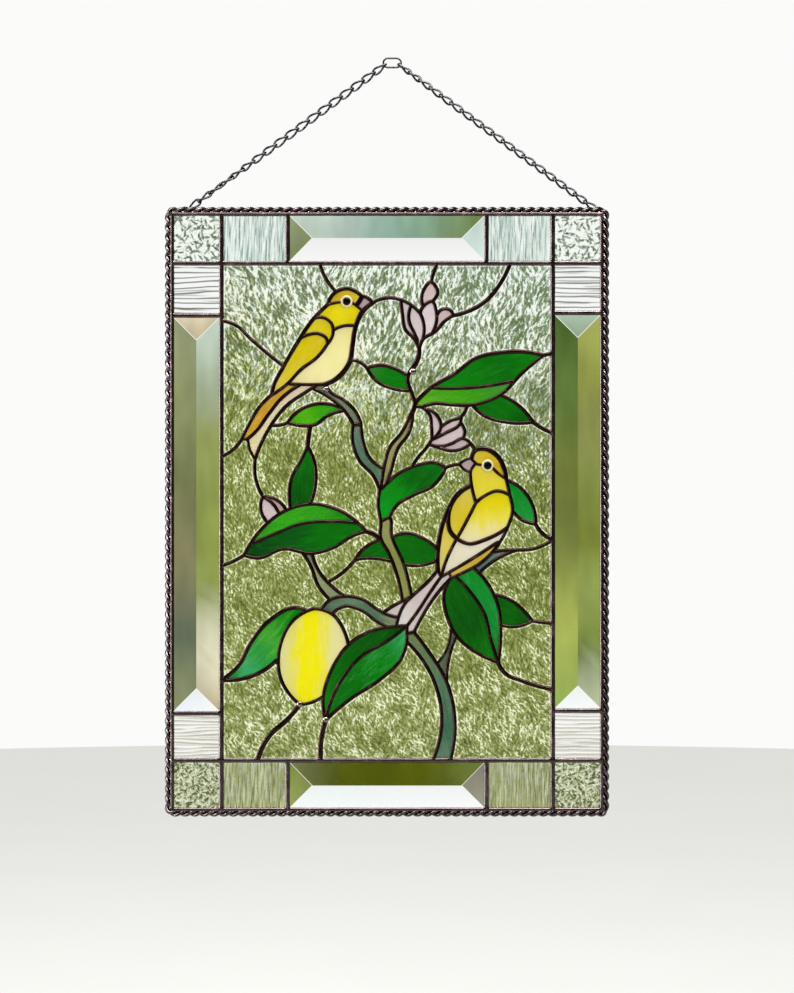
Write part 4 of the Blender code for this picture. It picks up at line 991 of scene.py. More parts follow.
def set_ramp(node: bpy.types.Node, stops: Iterable[tuple[float, Colour]], smooth: bool = False) -> None:
    """Set a colour ramp.

    Args:
        node: The colour ramp's node.
        stops: Place and colour of each stop, in order.
        smooth: Whether the colours flow without corners.
    """
    stops = list(stops)
    ramp = node.color_ramp
    ramp.interpolation = "EASE" if smooth else "LINEAR"
    while len(ramp.elements) < len(stops):
        ramp.elements.new(1.0)
    for element, (place, colour) in zip(ramp.elements, stops):
        element.position = place
        element.color = colour


STUDIO_PALE = "FBFCFA"
# How bright the surroundings are where a surface mirrors them, as a share of what is seen directly
MIRRORED = 0.12
CLEAR: Colour = (1.0, 1.0, 1.0, 1.0)
# A pattern's tones fill this share of its colour ramp; the end of the ramp is clear, for edges and backs
PRINTED = 0.9


def seen_through(text: str, faces: int = 2, milkiness: float = 0.0) -> Colour:
    """Work out the base colour that glass needs to show a colour against the studio's pale surroundings.

    Args:
        text: The colour wanted, as sRGB hex.
        faces: How many of the pane's two faces carry it.
        milkiness: How much of the glass is opal, which the lights in front brighten.

    Returns:
        Linear values. What the surface mirrors is taken off, and a colour on one face alone is squared,
        because glass takes the root of its base colour at each face.
    """
    mirrored, passed, brightened, least = 0.045, 0.93, 0.28, 0.0004
    values = []
    for wanted, light in zip(linear_colour(text)[:3], linear_colour(STUDIO_PALE)):
        share = (wanted / light - MIRRORED * mirrored) / passed / (1 + brightened * milkiness)
        share = min(max(share, least), 1.0)
        values.append(share if faces == 2 else share * share)
    return (*values, 1.0)


@dataclass(frozen=True)
class Finish:
    """A finish that dresses pieces: its name and plain shader values."""

    name: str
    roughness: float
    metallic: float = 0.0
    ior: float = 1.5
    # What a metal mirrors at its edges, where clean metal turns white
    edge: str = "FFFFFF"
    # How much of it lies under a thin clear coat of wax or lacquer, and how rough that coat is
    coat: float = 0.0
    coat_roughness: float = 0.12

    def _start(self) -> tuple[bpy.types.Material, bpy.types.NodeTree, bpy.types.Node]:
        """Start a material.

        Returns:
            The material, its tree, and its shader with the plain values set.
        """
        material = bpy.data.materials.new(self.name)
        material.use_nodes = True
        tree = material.node_tree
        shader = plug(tree.nodes["Principled BSDF"], Roughness=self.roughness, Metallic=self.metallic,
                      Coat_Weight=self.coat, Coat_Roughness=self.coat_roughness)
        if self.metallic:
            plug(shader, Specular_Tint=linear_colour(self.edge))
        else:
            plug(shader, IOR=self.ior)
        return material, tree, shader


@dataclass(frozen=True)
class StreakyGlass(Finish):
    """Hand-rolled cathedral or opalescent glass: colour runs along the sheet in streaks and soft wisps.

    The eye sees colour that flows from one shade to the next, a little milky where the sheet holds white,
    under a smooth and faintly uneven face.
    """

    colours: tuple[str, ...] = ()
    clearness: float = 0.8
    wisps: float = 0.25
    wisp_colour: str = "FFFFFF"

    def material(self) -> bpy.types.Material:
        """Make the glass as a material.

        Returns:
            The material.
        """
        material, tree, shader = self._start()
        along = add_node(tree, "Attribute", {"attribute_name": "along"}).outputs["Fac"]
        sheet = add_node(tree, "UVMap", {"uv_map": "sheet"})
        # Streaks about 30 mm long and 5 mm wide
        streaks = add_node(tree, "Mapping", Vector=sheet, Scale=(33.0, 200.0, 1.0))
        flow = add_node(tree, "TexNoise", Vector=streaks, Scale=1.0, Detail=3.0, Roughness=0.55,
                        Distortion=0.6)
        bent = add_node(tree, "Math", {"operation": "MULTIPLY_ADD"}, i0=flow, i1=0.5, i2=-0.25)
        place = add_node(tree, "Math", {"operation": "ADD", "use_clamp": True}, i0=along, i1=bent)
        ramp = add_node(tree, "ValToRGB", Fac=place)
        tints = [seen_through(text, milkiness=1 - self.clearness) for text in self.colours]
        set_ramp(ramp, [(i / (len(tints) - 1), tint) for i, tint in enumerate(tints)], smooth=True)
        # Wisps about 18 mm long and 2.5 mm wide
        threads = add_node(tree, "Mapping", Vector=sheet, Scale=(55.0, 400.0, 1.0))
        thread = add_node(tree, "TexNoise", Vector=threads, Scale=1.0, Detail=4.0, Roughness=0.6,
                          Distortion=1.1)
        share = add_node(tree, "MapRange", Value=thread, From_Min=0.5, From_Max=0.8, To_Min=0.0,
                         To_Max=self.wisps)
        wisp = seen_through(self.wisp_colour, milkiness=1 - self.clearness)
        mixed = add_node(tree, "Mix", {"data_type": "RGBA"}, i0=share, i6=ramp, i7=wisp)
        plug(shader, Transmission_Weight=self.clearness, Base_Color=mixed)
        return material


@dataclass(frozen=True)
class TexturedGlass(Finish):
    """Clear float-tinted glass with a rolled texture: every dimple has a dark side and a bright side.

    Its colour is painted light over a faint sage tint of its own: painted shade on one side of every dimple,
    painted highlights on the other, and sparkle from white to sage, painted lighter and more silvery toward
    the top of the panel and greener toward the bottom.
    """

    # Ramps of painted light from painted shade to painted highlight: high for the top of the panel, low for
    # the bottom
    high: tuple[str, ...] = ()
    low: tuple[str, ...] = ()
    low_z: float = -0.50
    high_z: float = -0.16
    # How many metres higher a place seems for each metre to the right
    lean: float = 0.0
    # How many metres the patches range over
    patchy: float = 0.3

    def material(self) -> bpy.types.Material:
        """Make the glass as a material.

        Returns:
            The material.
        """
        material, tree, shader = self._start()
        tone = add_node(tree, "Attribute", {"attribute_name": "tone"}).outputs["Fac"]
        ramps = []
        for colours in (self.low, self.high):
            ramp = add_node(tree, "ValToRGB", Fac=tone)
            tints = [seen_through(text, faces=1) for text in colours]
            stops = [(PRINTED * i / (len(tints) - 1), tint) for i, tint in enumerate(tints)]
            set_ramp(ramp, [*stops, (1.0, CLEAR)])
            ramps.append(ramp)
        place = add_node(tree, "TexCoord").outputs["Object"]
        parts = add_node(tree, "SeparateXYZ", Vector=place).outputs
        # Patches about 5 mm across that take the tones of a place higher up or lower down
        patches = add_node(tree, "TexNoise", Vector=place, Scale=190.0, Detail=1.0)
        moved = add_node(tree, "Math", {"operation": "MULTIPLY_ADD"}, i0=patches, i1=self.patchy,
                         i2=parts["Z"])
        height = add_node(tree, "Math", {"operation": "MULTIPLY_ADD"}, i0=parts["X"], i1=self.lean, i2=moved)
        # Painted lighter and more silvery higher up, greener lower down
        rise = add_node(tree, "MapRange", Value=height, From_Min=self.low_z + self.patchy / 2,
                        From_Max=self.high_z + self.patchy / 2)
        mixed = add_node(tree, "Mix", {"data_type": "RGBA"}, i0=rise, i6=ramps[0], i7=ramps[1])
        plug(shader, Transmission_Weight=1.0, Base_Color=mixed)
        return material


@dataclass(frozen=True)
class BevelGlass(Finish):
    """Thick clear glass, ground and polished to slopes.

    Every slope is painted in its own soft tones, a painted reflection of the surroundings that it bends from
    one side.
    """

    def material(self) -> bpy.types.Material:
        """Make the glass as a material.

        Returns:
            The material.
        """
        material, tree, shader = self._start()
        slope = add_node(tree, "Attribute", {"attribute_name": "slope_tone"}).outputs["Color"]
        place = add_node(tree, "TexCoord").outputs["Object"]
        # Soft painted bands of light and shade, about 40 mm long and 12 mm wide
        stretched = add_node(tree, "Mapping", Vector=place, Scale=(70.0, 1.0, 25.0))
        painted_bands = add_node(tree, "TexNoise", Vector=stretched, Scale=1.0, Detail=1.0)
        shade = add_node(tree, "MapRange", Value=painted_bands, From_Min=0.35, From_Max=0.65, To_Min=0.82,
                         To_Max=1.18)
        # The palest slopes, painted as the brightest reflection, get none of the painted bands
        grey = add_node(tree, "RGBToBW", Color=slope)
        share = add_node(tree, "MapRange", Value=grey, From_Min=0.5, From_Max=0.85, To_Min=1.0, To_Max=0.0)
        banded = add_node(tree, "Mix", {"data_type": "RGBA", "blend_type": "MULTIPLY"}, i0=share, i6=slope,
                          i7=shade)
        plug(shader, Transmission_Weight=1.0, Base_Color=banded)
        return material


@dataclass(frozen=True)
class PatinatedMetal(Finish):
    """Solder and copper wire under a dark copper patina.

    The eye sees brown in the hollows and a worn pinkish copper in blotches and on the crests, which are also
    painted lighter as a painted highlight.
    """

    hollow: str = "1E1010"
    body: str = "3E2626"
    rubbed_and_highlight: str = "8A6A68"
    # Blotches of patina to a metre: they are about 6 mm across
    blotch: float = 160.0

    def material(self) -> bpy.types.Material:
        """Make the metal as a material.

        Returns:
            The material.
        """
        material, tree, shader = self._start()
        place = add_node(tree, "TexCoord").outputs["Object"]
        crest = add_node(tree, "Attribute", {"attribute_name": "crest"}).outputs["Fac"]
        blotches = add_node(tree, "TexNoise", Vector=place, Scale=self.blotch, Detail=4.0, Roughness=0.6)
        wear = add_node(tree, "Math", {"operation": "MULTIPLY_ADD"}, i0=blotches, i1=1.7, i2=-0.62)
        # The crests are painted lighter: partly worn copper, partly a painted highlight
        both = add_node(tree, "Math", {"operation": "MULTIPLY_ADD", "use_clamp": True}, i0=crest, i1=0.3,
                        i2=wear)
        ramp = add_node(tree, "ValToRGB", Fac=both)
        shades = zip((0.0, 0.55, 1.0), (self.hollow, self.body, self.rubbed_and_highlight))
        set_ramp(ramp, [(stop, linear_colour(text)) for stop, text in shades])
        # Ripples left by the iron, about 2 mm apart
        ripple = add_node(tree, "TexNoise", Vector=place, Scale=480.0, Detail=2.0)
        bump = add_node(tree, "Bump", Strength=0.12, Distance=0.0004, Height=ripple)
        plug(shader, Base_Color=ramp, Normal=bump)
        return material


@dataclass(frozen=True)
class Lacquer(Finish):
    """A plain hard coat with the faintest mottling, so that it isn't flat."""

    colour: str = "808080"
    mottle: str = "8A8A8A"
    # Patches of the mottling to a metre: they are about 4 mm across
    scale: float = 250.0

    def material(self) -> bpy.types.Material:
        """Make the coat as a material.

        Returns:
            The material.
        """
        material, tree, shader = self._start()
        place = add_node(tree, "TexCoord").outputs["Object"]
        noise = add_node(tree, "TexNoise", Vector=place, Scale=self.scale, Detail=2.0)
        mixed = add_node(tree, "Mix", {"data_type": "RGBA"}, i0=noise, i6=linear_colour(self.colour),
                         i7=linear_colour(self.mottle))
        plug(shader, Base_Color=mixed)
        return material


SHEETS: dict[Sheet, tuple[float, float, str]] = {
    # How clear each coloured sheet is, how strong its wisps are and what colour they have
    Sheet.GOLD: (0.55, 0.35, "F0DC70"),
    Sheet.YELLOW: (0.5, 0.25, "F4EA7A"),
    Sheet.STRAW: (0.55, 0.35, "EFE08C"),
    Sheet.AMBER: (0.55, 0.4, "EFD68A"),
    Sheet.CREAM: (0.5, 0.4, "FBF5D2"),
    Sheet.PETAL: (0.45, 0.4, "F4EAEA"),
    Sheet.DARK_GREEN: (0.85, 0.3, "2FA22C"),
    Sheet.BRIGHT_GREEN: (0.85, 0.35, "86C85A"),
    Sheet.EMERALD: (0.8, 0.5, "58BC74"),
    Sheet.LEMON: (0.45, 0.2, "F4F0B8"),
    Sheet.STEM: (0.75, 0.3, "A8B48C"),
}

# Painted light for the textured clear glass, each ramp from painted shade to painted highlight: the high
# ramps for the top of the panel, the low ones, painted greener, for the bottom
HAMMERED = TexturedGlass("hammered_clear_glass", 0.04, ior=1.52,
                         high=("6A7C56", "91A382", "C0D0BE", "EBF7F2", "FAFFFF"),
                         low=("58602A", "7D8842", "9AA564", "CAD49A", "F6FAD6"), low_z=-0.29, high_z=-0.12,
                         lean=0.3, patchy=0.24)
GLUE_CHIP = TexturedGlass("glue_chipped_clear_glass", 0.06, ior=1.52,
                          high=("566350", "82907A", "BAC5B6", "E8F2E6", "FFFFFF"),
                          low=("4E583A", "727C52", "A0A87A", "CCD4AC", "F4F6E2"), low_z=-0.56, high_z=-0.10)
REEDED = TexturedGlass("reeded_clear_glass", 0.05, ior=1.52,
                       high=("78908A", "A4B8AE", "C6D6CE", "DFEBE6", "FBFFFE"),
                       low=("606838", "828A52", "9FA56E", "B6BC88", "D6DCB0"), low_z=-0.56, high_z=-0.10)
RIBBED = TexturedGlass("ribbed_clear_glass", 0.05, ior=1.52,
                       high=("5E605C", "8E918D", "C8CBC7", "F6F7F4", "FFFFFF"),
                       low=("5E6056", "8E9084", "C8C8BC", "F4F2EA", "FFFFFC"), low_z=-0.52, high_z=-0.14)
POLISHED = BevelGlass("bevelled_float_glass", 0.02, ior=1.52)
SOLDER = PatinatedMetal("solder_with_copper_patina", 0.3, metallic=1.0, edge="40261E", hollow="160804",
                        body="26120E", rubbed_and_highlight="644A42", coat=0.16)
# The border's solder: the same patina painted lighter, with a full coat, as painted light for the brighter
# border seams
LIGHTER_PAINTED_BORDER_SOLDER = PatinatedMetal("rubbed_solder_with_copper_patina", 0.3, metallic=1.0, edge="50403E",
                               hollow="1E0E0C", body="382422", rubbed_and_highlight="8A6E6E", coat=1.0)
ROPE_WIRE = PatinatedMetal("twisted_copper_wire_with_patina", 0.3, metallic=1.0, edge="5E5450",
                           hollow="1A0F10", body="362628", rubbed_and_highlight="86767A", blotch=120.0, coat=1.0,
                           coat_roughness=0.17)
GUNMETAL = PatinatedMetal("gunmetal_plated_steel", 0.3, metallic=1.0, edge="46484C", hollow="141416",
                          body="303236", rubbed_and_highlight="6A6E74", blotch=300.0, coat=0.6)
# The drops' light colours stand partly for painted highlights on the polished solder
RAW_SOLDER = PatinatedMetal("polished_solder", 0.16, metallic=1.0, edge="84746C", hollow="54443E",
                            body="82706A", rubbed_and_highlight="CCBAB2", coat=1.0, coat_roughness=0.08)
EYE_BLACK = Lacquer("black_glass_enamel", 0.08, ior=1.2, colour="040304", mottle="080607")
EYE_RING = Lacquer("cream_glass_enamel", 0.25, colour="D0C48C", mottle="DCD2A2")
FLOOR = Lacquer("matt_pale_floor", 0.9, colour="E4E4E0", mottle="E8E8E4", scale=3.0)


def to_row(points: Array, depth: Array | float) -> Array:
    """Turn places on the drawing into row coordinates.

    Args:
        points: Places on the drawing, in millimetres, one per line.
        depth: How far each lies in front of the panel's middle, in millimetres.

    Returns:
        Places in metres, one per line.
    """
    points = np.asarray(points, float)
    x, z = (points - HANG).T
    return np.stack([x, -np.broadcast_to(depth, len(points)), z], axis=1) * MM


def add_piece(name: str, verts: Array, faces: list, material: bpy.types.Material,
              replaces: tuple[str, ...] = (), flat: Array | None = None,
              values: dict[str, Array] | None = None) -> bpy.types.Object:
    """Make a mesh piece that rides with the panel.

    Args:
        name: The piece's name.
        verts: Its points in metres, one per line.
        faces: The points of each face.
        material: What it is dressed in.
        replaces: The solids that it stands for.
        flat: Whether each face is shaded flat; none is when this is left out.
        values: Values for the shader by name, one for each point.

    Returns:
        The new object.
    """
    mesh = bpy.data.meshes.new(name)
    mesh.from_pydata(verts.tolist(), [], faces)
    mesh.polygons.foreach_set("use_smooth", np.ones(len(faces), bool) if flat is None else ~flat)
    for key, amounts in (values or {}).items():
        attribute = mesh.attributes.new(key, "FLOAT", "POINT")
        attribute.data.foreach_set("value", np.ascontiguousarray(amounts, np.float32))
    mesh.materials.append(material)
    mesh.update()
    piece = bpy.data.objects.new(name, mesh)
    bpy.context.scene.collection.objects.link(piece)
    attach(piece, ROOT)
    if replaces:
        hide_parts(*replaces)
    log.info("%s: %d points, %d faces", name, len(verts), len(faces))
    return piece


def bridge(low: Array, high: Array) -> list[tuple[int, ...]]:
    """Join two rows of point numbers all round, with triangles where a side has no length.

    Args:
        low: Point numbers of the first row.
        high: Point numbers of the second row.

    Returns:
        The faces' point numbers.
    """
    corners = np.stack([low, np.roll(low, -1), np.roll(high, -1), high], axis=1)
    faces = (tuple(dict.fromkeys(ring)) for ring in corners.tolist())
    return [face for face in faces if len(face) > 2]


def bridged(rows: Iterable[Array]) -> list[tuple[int, ...]]:
    """Join each row of point numbers to the next, all round.

    Args:
        rows: The rows, each as long as the others.

    Returns:
        The faces' point numbers.
    """
    rows = list(rows)
    return [face for low, high in zip(rows, rows[1:]) for face in bridge(low, high)]


def capped(rings: int, sections: int) -> list[tuple[int, ...]]:
    """Join the points of a round body that is given ring by ring, and close its ends.

    Args:
        rings: How many rings it has.
        sections: How many points each ring has.

    Returns:
        The faces' point numbers.
    """
    numbers = np.arange(rings * sections).reshape(rings, sections)
    return [tuple(numbers[0].tolist()), tuple(numbers[-1][::-1].tolist()), *bridged(numbers[::-1])]


def joined(parts: Iterable[tuple[Array, list]]) -> tuple[Array, list]:
    """Put several meshes into one.

    Args:
        parts: Points and faces of each.

    Returns:
        All points, and the faces with their new point numbers.
    """
    verts, faces, start = [], [], 0
    for own, own_faces in parts:
        verts.append(own)
        faces += [tuple(start + k for k in face) for face in own_faces]
        start += len(own)
    return np.vstack(verts), faces


@dataclass
class SolderLattice:
    """The rounded beads of solder on the copper foil between all the panes, as one web."""

    # How high the crests stand above the glass, and how unlike each other their heights and widths are
    crest_rise: float = 1.0
    unevenness: float = 0.1
    # Where rows of points lie between crest and foot, as shares of the way
    front_shares: tuple[float, ...] = (0.45, 0.8)
    back_shares: tuple[float, ...] = (0.65,)
    # The outer rim's profile: how far out and how high
    rim: tuple[tuple[float, float], ...] = ((0.45, 2.3), (0.85, 1.95), (1.2, 1.2))
    # How far the beads lap over the glass, and how far their feet are sunk in it
    lap: float = 0.7
    sunk: float = 0.05
    _verts: list[Array] = field(default_factory=list)
    _crest: list[float] = field(default_factory=list)
    _faces: list[tuple[int, ...]] = field(default_factory=list)

    def half_widths(self, loop: Loop) -> Array:
        """Give half the bead's width at each side of a loop, a little uneven."""
        x, z = loop.points.T
        return loop.widths / 2 * (1 + self.unevenness * 1.2 * (Noise(71).at(x / 7, z / 7) - 0.5))

    def opening(self, loop: Loop) -> Array:
        """Give the outline of the glass that shows inside a loop."""
        return loop.inset(self.half_widths(loop))

    def glass_outline(self, loop: Loop) -> Array:
        """Give the outline of a pane, which runs a little way under the beads."""
        return loop.inset(self.half_widths(loop) - self.lap)

    def _add(self, places: Array, depth: Array, crest: Array | float) -> Array:
        """Add points.

        Args:
            places: Where they are on the drawing.
            depth: How far in front of the panel's middle.
            crest: How near to a crest, from 0 to 1.

        Returns:
            Their numbers.
        """
        start = len(self._crest)
        self._verts.append(to_row(places, depth))
        self._crest += np.broadcast_to(crest, len(places)).tolist()
        return np.arange(start, start + len(places))

    def _crest_height(self, places: Array) -> Array:
        """Tell how far the beads stand above the glass at places on their crests."""
        x, z = places.T
        return self.crest_rise * (1 + self.unevenness * 2 * (Noise(72).at(x / 5, z / 5) - 0.5))

    def build(self, loops: list[Loop]) -> bpy.types.Object:
        """Build the web of beads.

        Args:
            loops: The loop of seams round each piece of glass.

        Returns:
            The piece.
        """
        numbers: dict[tuple, int] = {}
        crests = []
        for loop in loops:
            for point in loop.points:
                key = (round(float(point[0]), 4), round(float(point[1]), 4))
                if key not in numbers:
                    numbers[key] = len(crests)
                    crests.append(point)
        crests = np.array(crests)
        rise = self._crest_height(crests)
        front = self._add(crests, GLASS_T / 2 + rise, 1.0)
        back = self._add(crests, -GLASS_T / 2 - rise, 1.0)
        for loop in loops:
            own = np.array([numbers[(round(float(x), 4), round(float(z), 4))] for x, z in loop.points])
            self._beads(loop, own, front, back, rise)
        self._outer_rim(crests, front, back)
        verts = np.vstack(self._verts)
        piece = add_piece("solder_lattice_beads", verts, self._faces, SOLDER.material(),
                          ("solder_lattice",), values={"crest": np.array(self._crest)})
        # The border's beads take the copy of the solder that is painted lighter
        piece.data.materials.append(LIGHTER_PAINTED_BORDER_SOLDER.material())
        across, up = verts[:, 0] / MM + HANG[0], verts[:, 2] / MM + HANG[1]
        reach = SeamWidth.BORDER / 2 + 0.2
        in_border = (across < reach) | (across > FIELD_W - reach) | (up < reach) | (up > FIELD_H - reach)
        for polygon in piece.data.polygons:
            polygon.material_index = int(all(in_border[list(polygon.vertices)]))
        return piece

    def _beads(self, loop: Loop, own: Array, front: Array, back: Array, rise: Array) -> None:
        """Add the beads' side toward one pane: from crest to glass, and the foil along its edge.

        Args:
            loop: The loop round the pane.
            own: The numbers of the loop's crests.
            front: Point numbers of all front crests.
            back: Point numbers of all back crests.
            rise: How high each crest stands.
        """
        feet, _ = nearest_round(self.opening(loop), loop.points)
        new = np.ones(len(feet), bool)
        new[1:] = np.linalg.norm(np.diff(feet, axis=0), axis=1) > 0.02
        slots = np.cumsum(new) - 1
        kept = feet[new]
        rows = []
        for side, crest, shares in ((1, front, self.front_shares), (-1, back, self.back_shares)):
            row = [crest[own]]
            for share in shares:
                places = loop.points + share * (feet - loop.points)
                depth = side * (GLASS_T / 2 + rise[own] * math.sqrt(1 - share * share))
                row.append(self._add(places, depth, 1 - share))
            row.append(self._add(kept, side * (GLASS_T / 2 - self.sunk), 0.0)[slots])
            rows.append(row)
        front_rows, back_rows = rows
        self._faces += bridged([*front_rows, *back_rows[::-1]])

    def _outer_rim(self, crests: Array, front: Array, back: Array) -> None:
        """Add the rounded rim outside the outermost seam.

        Args:
            crests: Places of all crests.
            front: Their point numbers in front.
            back: Their point numbers behind.
        """
        low, high = np.array((-BORDER, -BORDER)), np.array((FIELD_W + BORDER, FIELD_H + BORDER))
        outward = (np.abs(crests - high) < 0.01).astype(float) - (np.abs(crests - low) < 0.01)
        outer = np.flatnonzero(outward.any(axis=1))
        middle = (low + high) / 2
        x, z = (crests[outer] - middle).T
        outer = outer[np.argsort(np.arctan2(z / (high - low)[1], x / (high - low)[0]))]
        rows = [front[outer]]
        for out, depth in (*self.rim, *((out, -depth) for out, depth in self.rim[::-1])):
            rows.append(self._add(crests[outer] + outward[outer] * out, depth, 0.5))
        rows.append(back[outer])
        self._faces += bridged(rows[::-1])


@dataclass
class GlassPane:
    """One pane of rolled glass: a pressed front, a flat back and a straight edge.

    Its streaks run along its lie, turned by an angle of their own.
    """

    name: str
    outline: Array
    relief: Relief
    slot: str
    material: bpy.types.Material
    lie: float = 0.0
    turn: float = 0.0
    replaces: tuple[str, ...] = ()
    # A painted highlight line on the clear glass along the beads: its strength, how far in and how wide
    painted_glow: float = 0.48
    painted_glow_in: float = 1.05
    painted_glow_half: float = 0.7
    # How far in from the edge the relief reaches its depth
    fade: float = 1.2

    def build(self) -> bpy.types.Object:
        """Build the pane, with the values that its glass is coloured by.

        Returns:
            The piece.
        """
        spacing, depth = self.relief.value
        rim = spaced(self.outline, max(1.0, spacing))
        points, faces = self._triangles(rim, self._spread(rim, spacing))
        x, z = points.T
        tone = self.relief.tone(x, z)
        _, from_edge = nearest_round(rim, points)
        # The front is pressed in where the glass is painted darker
        press = depth * (1 - tone) * np.clip(from_edge / self.fade, 0, 1)
        # Hammered panes get a painted highlight line along their beads
        if self.relief is Relief.HAMMERED:
            line = self.painted_glow * np.clip(1 - np.abs(from_edge - self.painted_glow_in) / self.painted_glow_half, 0, 1)
            tone = np.clip(tone + line * 2 * Noise(62).at(x / 4, z / 4), 0, 1)
        back_points, back_faces = self._triangles(rim, np.zeros((0, 2)))
        count, behind, ring = len(points), len(back_points), len(rim)
        verts = np.vstack([to_row(points, GLASS_T / 2 - press), to_row(back_points, -GLASS_T / 2),
                           to_row(rim, GLASS_T / 2), to_row(rim, -GLASS_T / 2)])
        faces += [tuple(count + i for i in face[::-1]) for face in back_faces]
        flat = np.zeros(len(faces) + ring, bool)
        flat[-ring - len(back_faces):] = True
        edge = count + behind + np.arange(ring)
        faces += bridge(edge + ring, edge)
        along, sheet = self._on_sheet(np.vstack([points, back_points, rim, rim]))
        tone = np.concatenate([PRINTED * tone, np.ones(behind + 2 * ring)])
        piece = add_piece(self.name, verts, faces, self.material, self.replaces, flat,
                          {"tone": tone, "along": along})
        layer = piece.data.uv_layers.new(name="sheet")
        corners = np.zeros(len(piece.data.loops), np.int32)
        piece.data.loops.foreach_get("vertex_index", corners)
        layer.data.foreach_set("uv", np.ascontiguousarray(sheet[corners], np.float32).ravel())
        return piece

    @staticmethod
    def _spread(rim: Array, step: float) -> Array:
        """Spread points evenly over the front.

        Args:
            rim: The outline's points.
            step: How far apart the points are.

        Returns:
            Points inside the rim, none of them close to it.
        """
        low, high = rim.min(axis=0), rim.max(axis=0)
        across = np.arange(low[0], high[0], step)
        up = np.arange(low[1], high[1], step * math.sqrt(0.75))
        x, z = np.meshgrid(across, up)
        x = x + (np.arange(len(up)) % 2)[:, None] * step / 2
        spread = np.stack([x.ravel(), z.ravel()], axis=1)
        spread = spread[inside(rim, spread)]
        if len(spread):
            _, away = nearest_round(rim, spread)
            spread = spread[away > 0.45 * step]
        return spread

    @staticmethod
    def _triangles(rim: Array, spread: Array) -> tuple[Array, list]:
        """Lay triangles over a rim and the points inside it.

        Args:
            rim: The outline's points.
            spread: Points inside it.

        Returns:
            All points, the rim's first, and the triangles, counter-clockwise.
        """
        points = np.vstack([rim, spread])
        found = delaunay_2d_cdt([Vector(p) for p in points], [], [list(range(len(rim)))], 1, 1e-5)
        places = np.array([tuple(p) for p in found[0]])
        if len(places) != len(points):
            origins = [first[0] if first else -1 for first in found[3]]
            if -1 in origins or sorted(set(origins))[:len(rim)] != list(range(len(rim))):
                raise ValueError("an outline crosses itself")
            return points, [tuple(origins[i] for i in face) for face in found[2]]
        return places, [tuple(face) for face in found[2]]

    def _on_sheet(self, points: Array) -> tuple[Array, Array]:
        """Find where places lie on the sheet that the pane was cut from.

        Args:
            points: The places on the drawing.

        Returns:
            Their share of the way along the pane's lie, and metres along and across its streaks.
        """
        x, z = points.T
        u, _ = turned(x, z, self.lie)
        along = (u - u.min()) / max(float(np.ptp(u)), 1e-6)
        shift = (sum(map(ord, self.name)) % 97) * 11.0
        u, v = turned(x, z, self.lie + self.turn)
        return along, np.stack([u + shift, v + shift], axis=1) * MM


class BevelTones(NamedTuple):
    """The painted reflection on each slope of a bevel, as colours from its left or low end to the other.

    The slopes are named for where they face: up, down, left and right.
    """

    up: str
    down: str
    left: str
    right: str


# Painted reflections of the surroundings, slope by slope
BEVELS: dict[str, BevelTones] = {
    "bevel_top": BevelTones("C1D3C0 BFCFC2 9CB6A8 90B29C 7F9A71 718633", "FFFFFF",
                            "7E8A5C 92A078", "DCECE6 C4D8CE"),
    "bevel_bottom": BevelTones("7F8252 5E6514 565F02 5E6600 636A14 758540", "EEFEFF F2FFFF",
                               "A0B05C 82902E", "A8A48E 868276"),
    "bevel_left": BevelTones("D8CEB4 C6B694 D8CCAE", "E2EEF4 F6F8F4",
                             "919871 5E6C59 8B8963 757C51 909768 979C79",
                             "B3A380 E8E5C6 929F58 919F4E 919F55 97A05D ADBBA0 CFDECE"),
    "bevel_right": BevelTones("B0C6AE 8AA282 AEC4AC", "EDFAFB F8FEFE",
                              "94AE57 ADB85C 7B8542 707A38 647F3E 49632B",
                              "BEC9A2 6E8222 99AA5A 77802F 86934A 8A8F52 959C4A A8AF5E"),
}


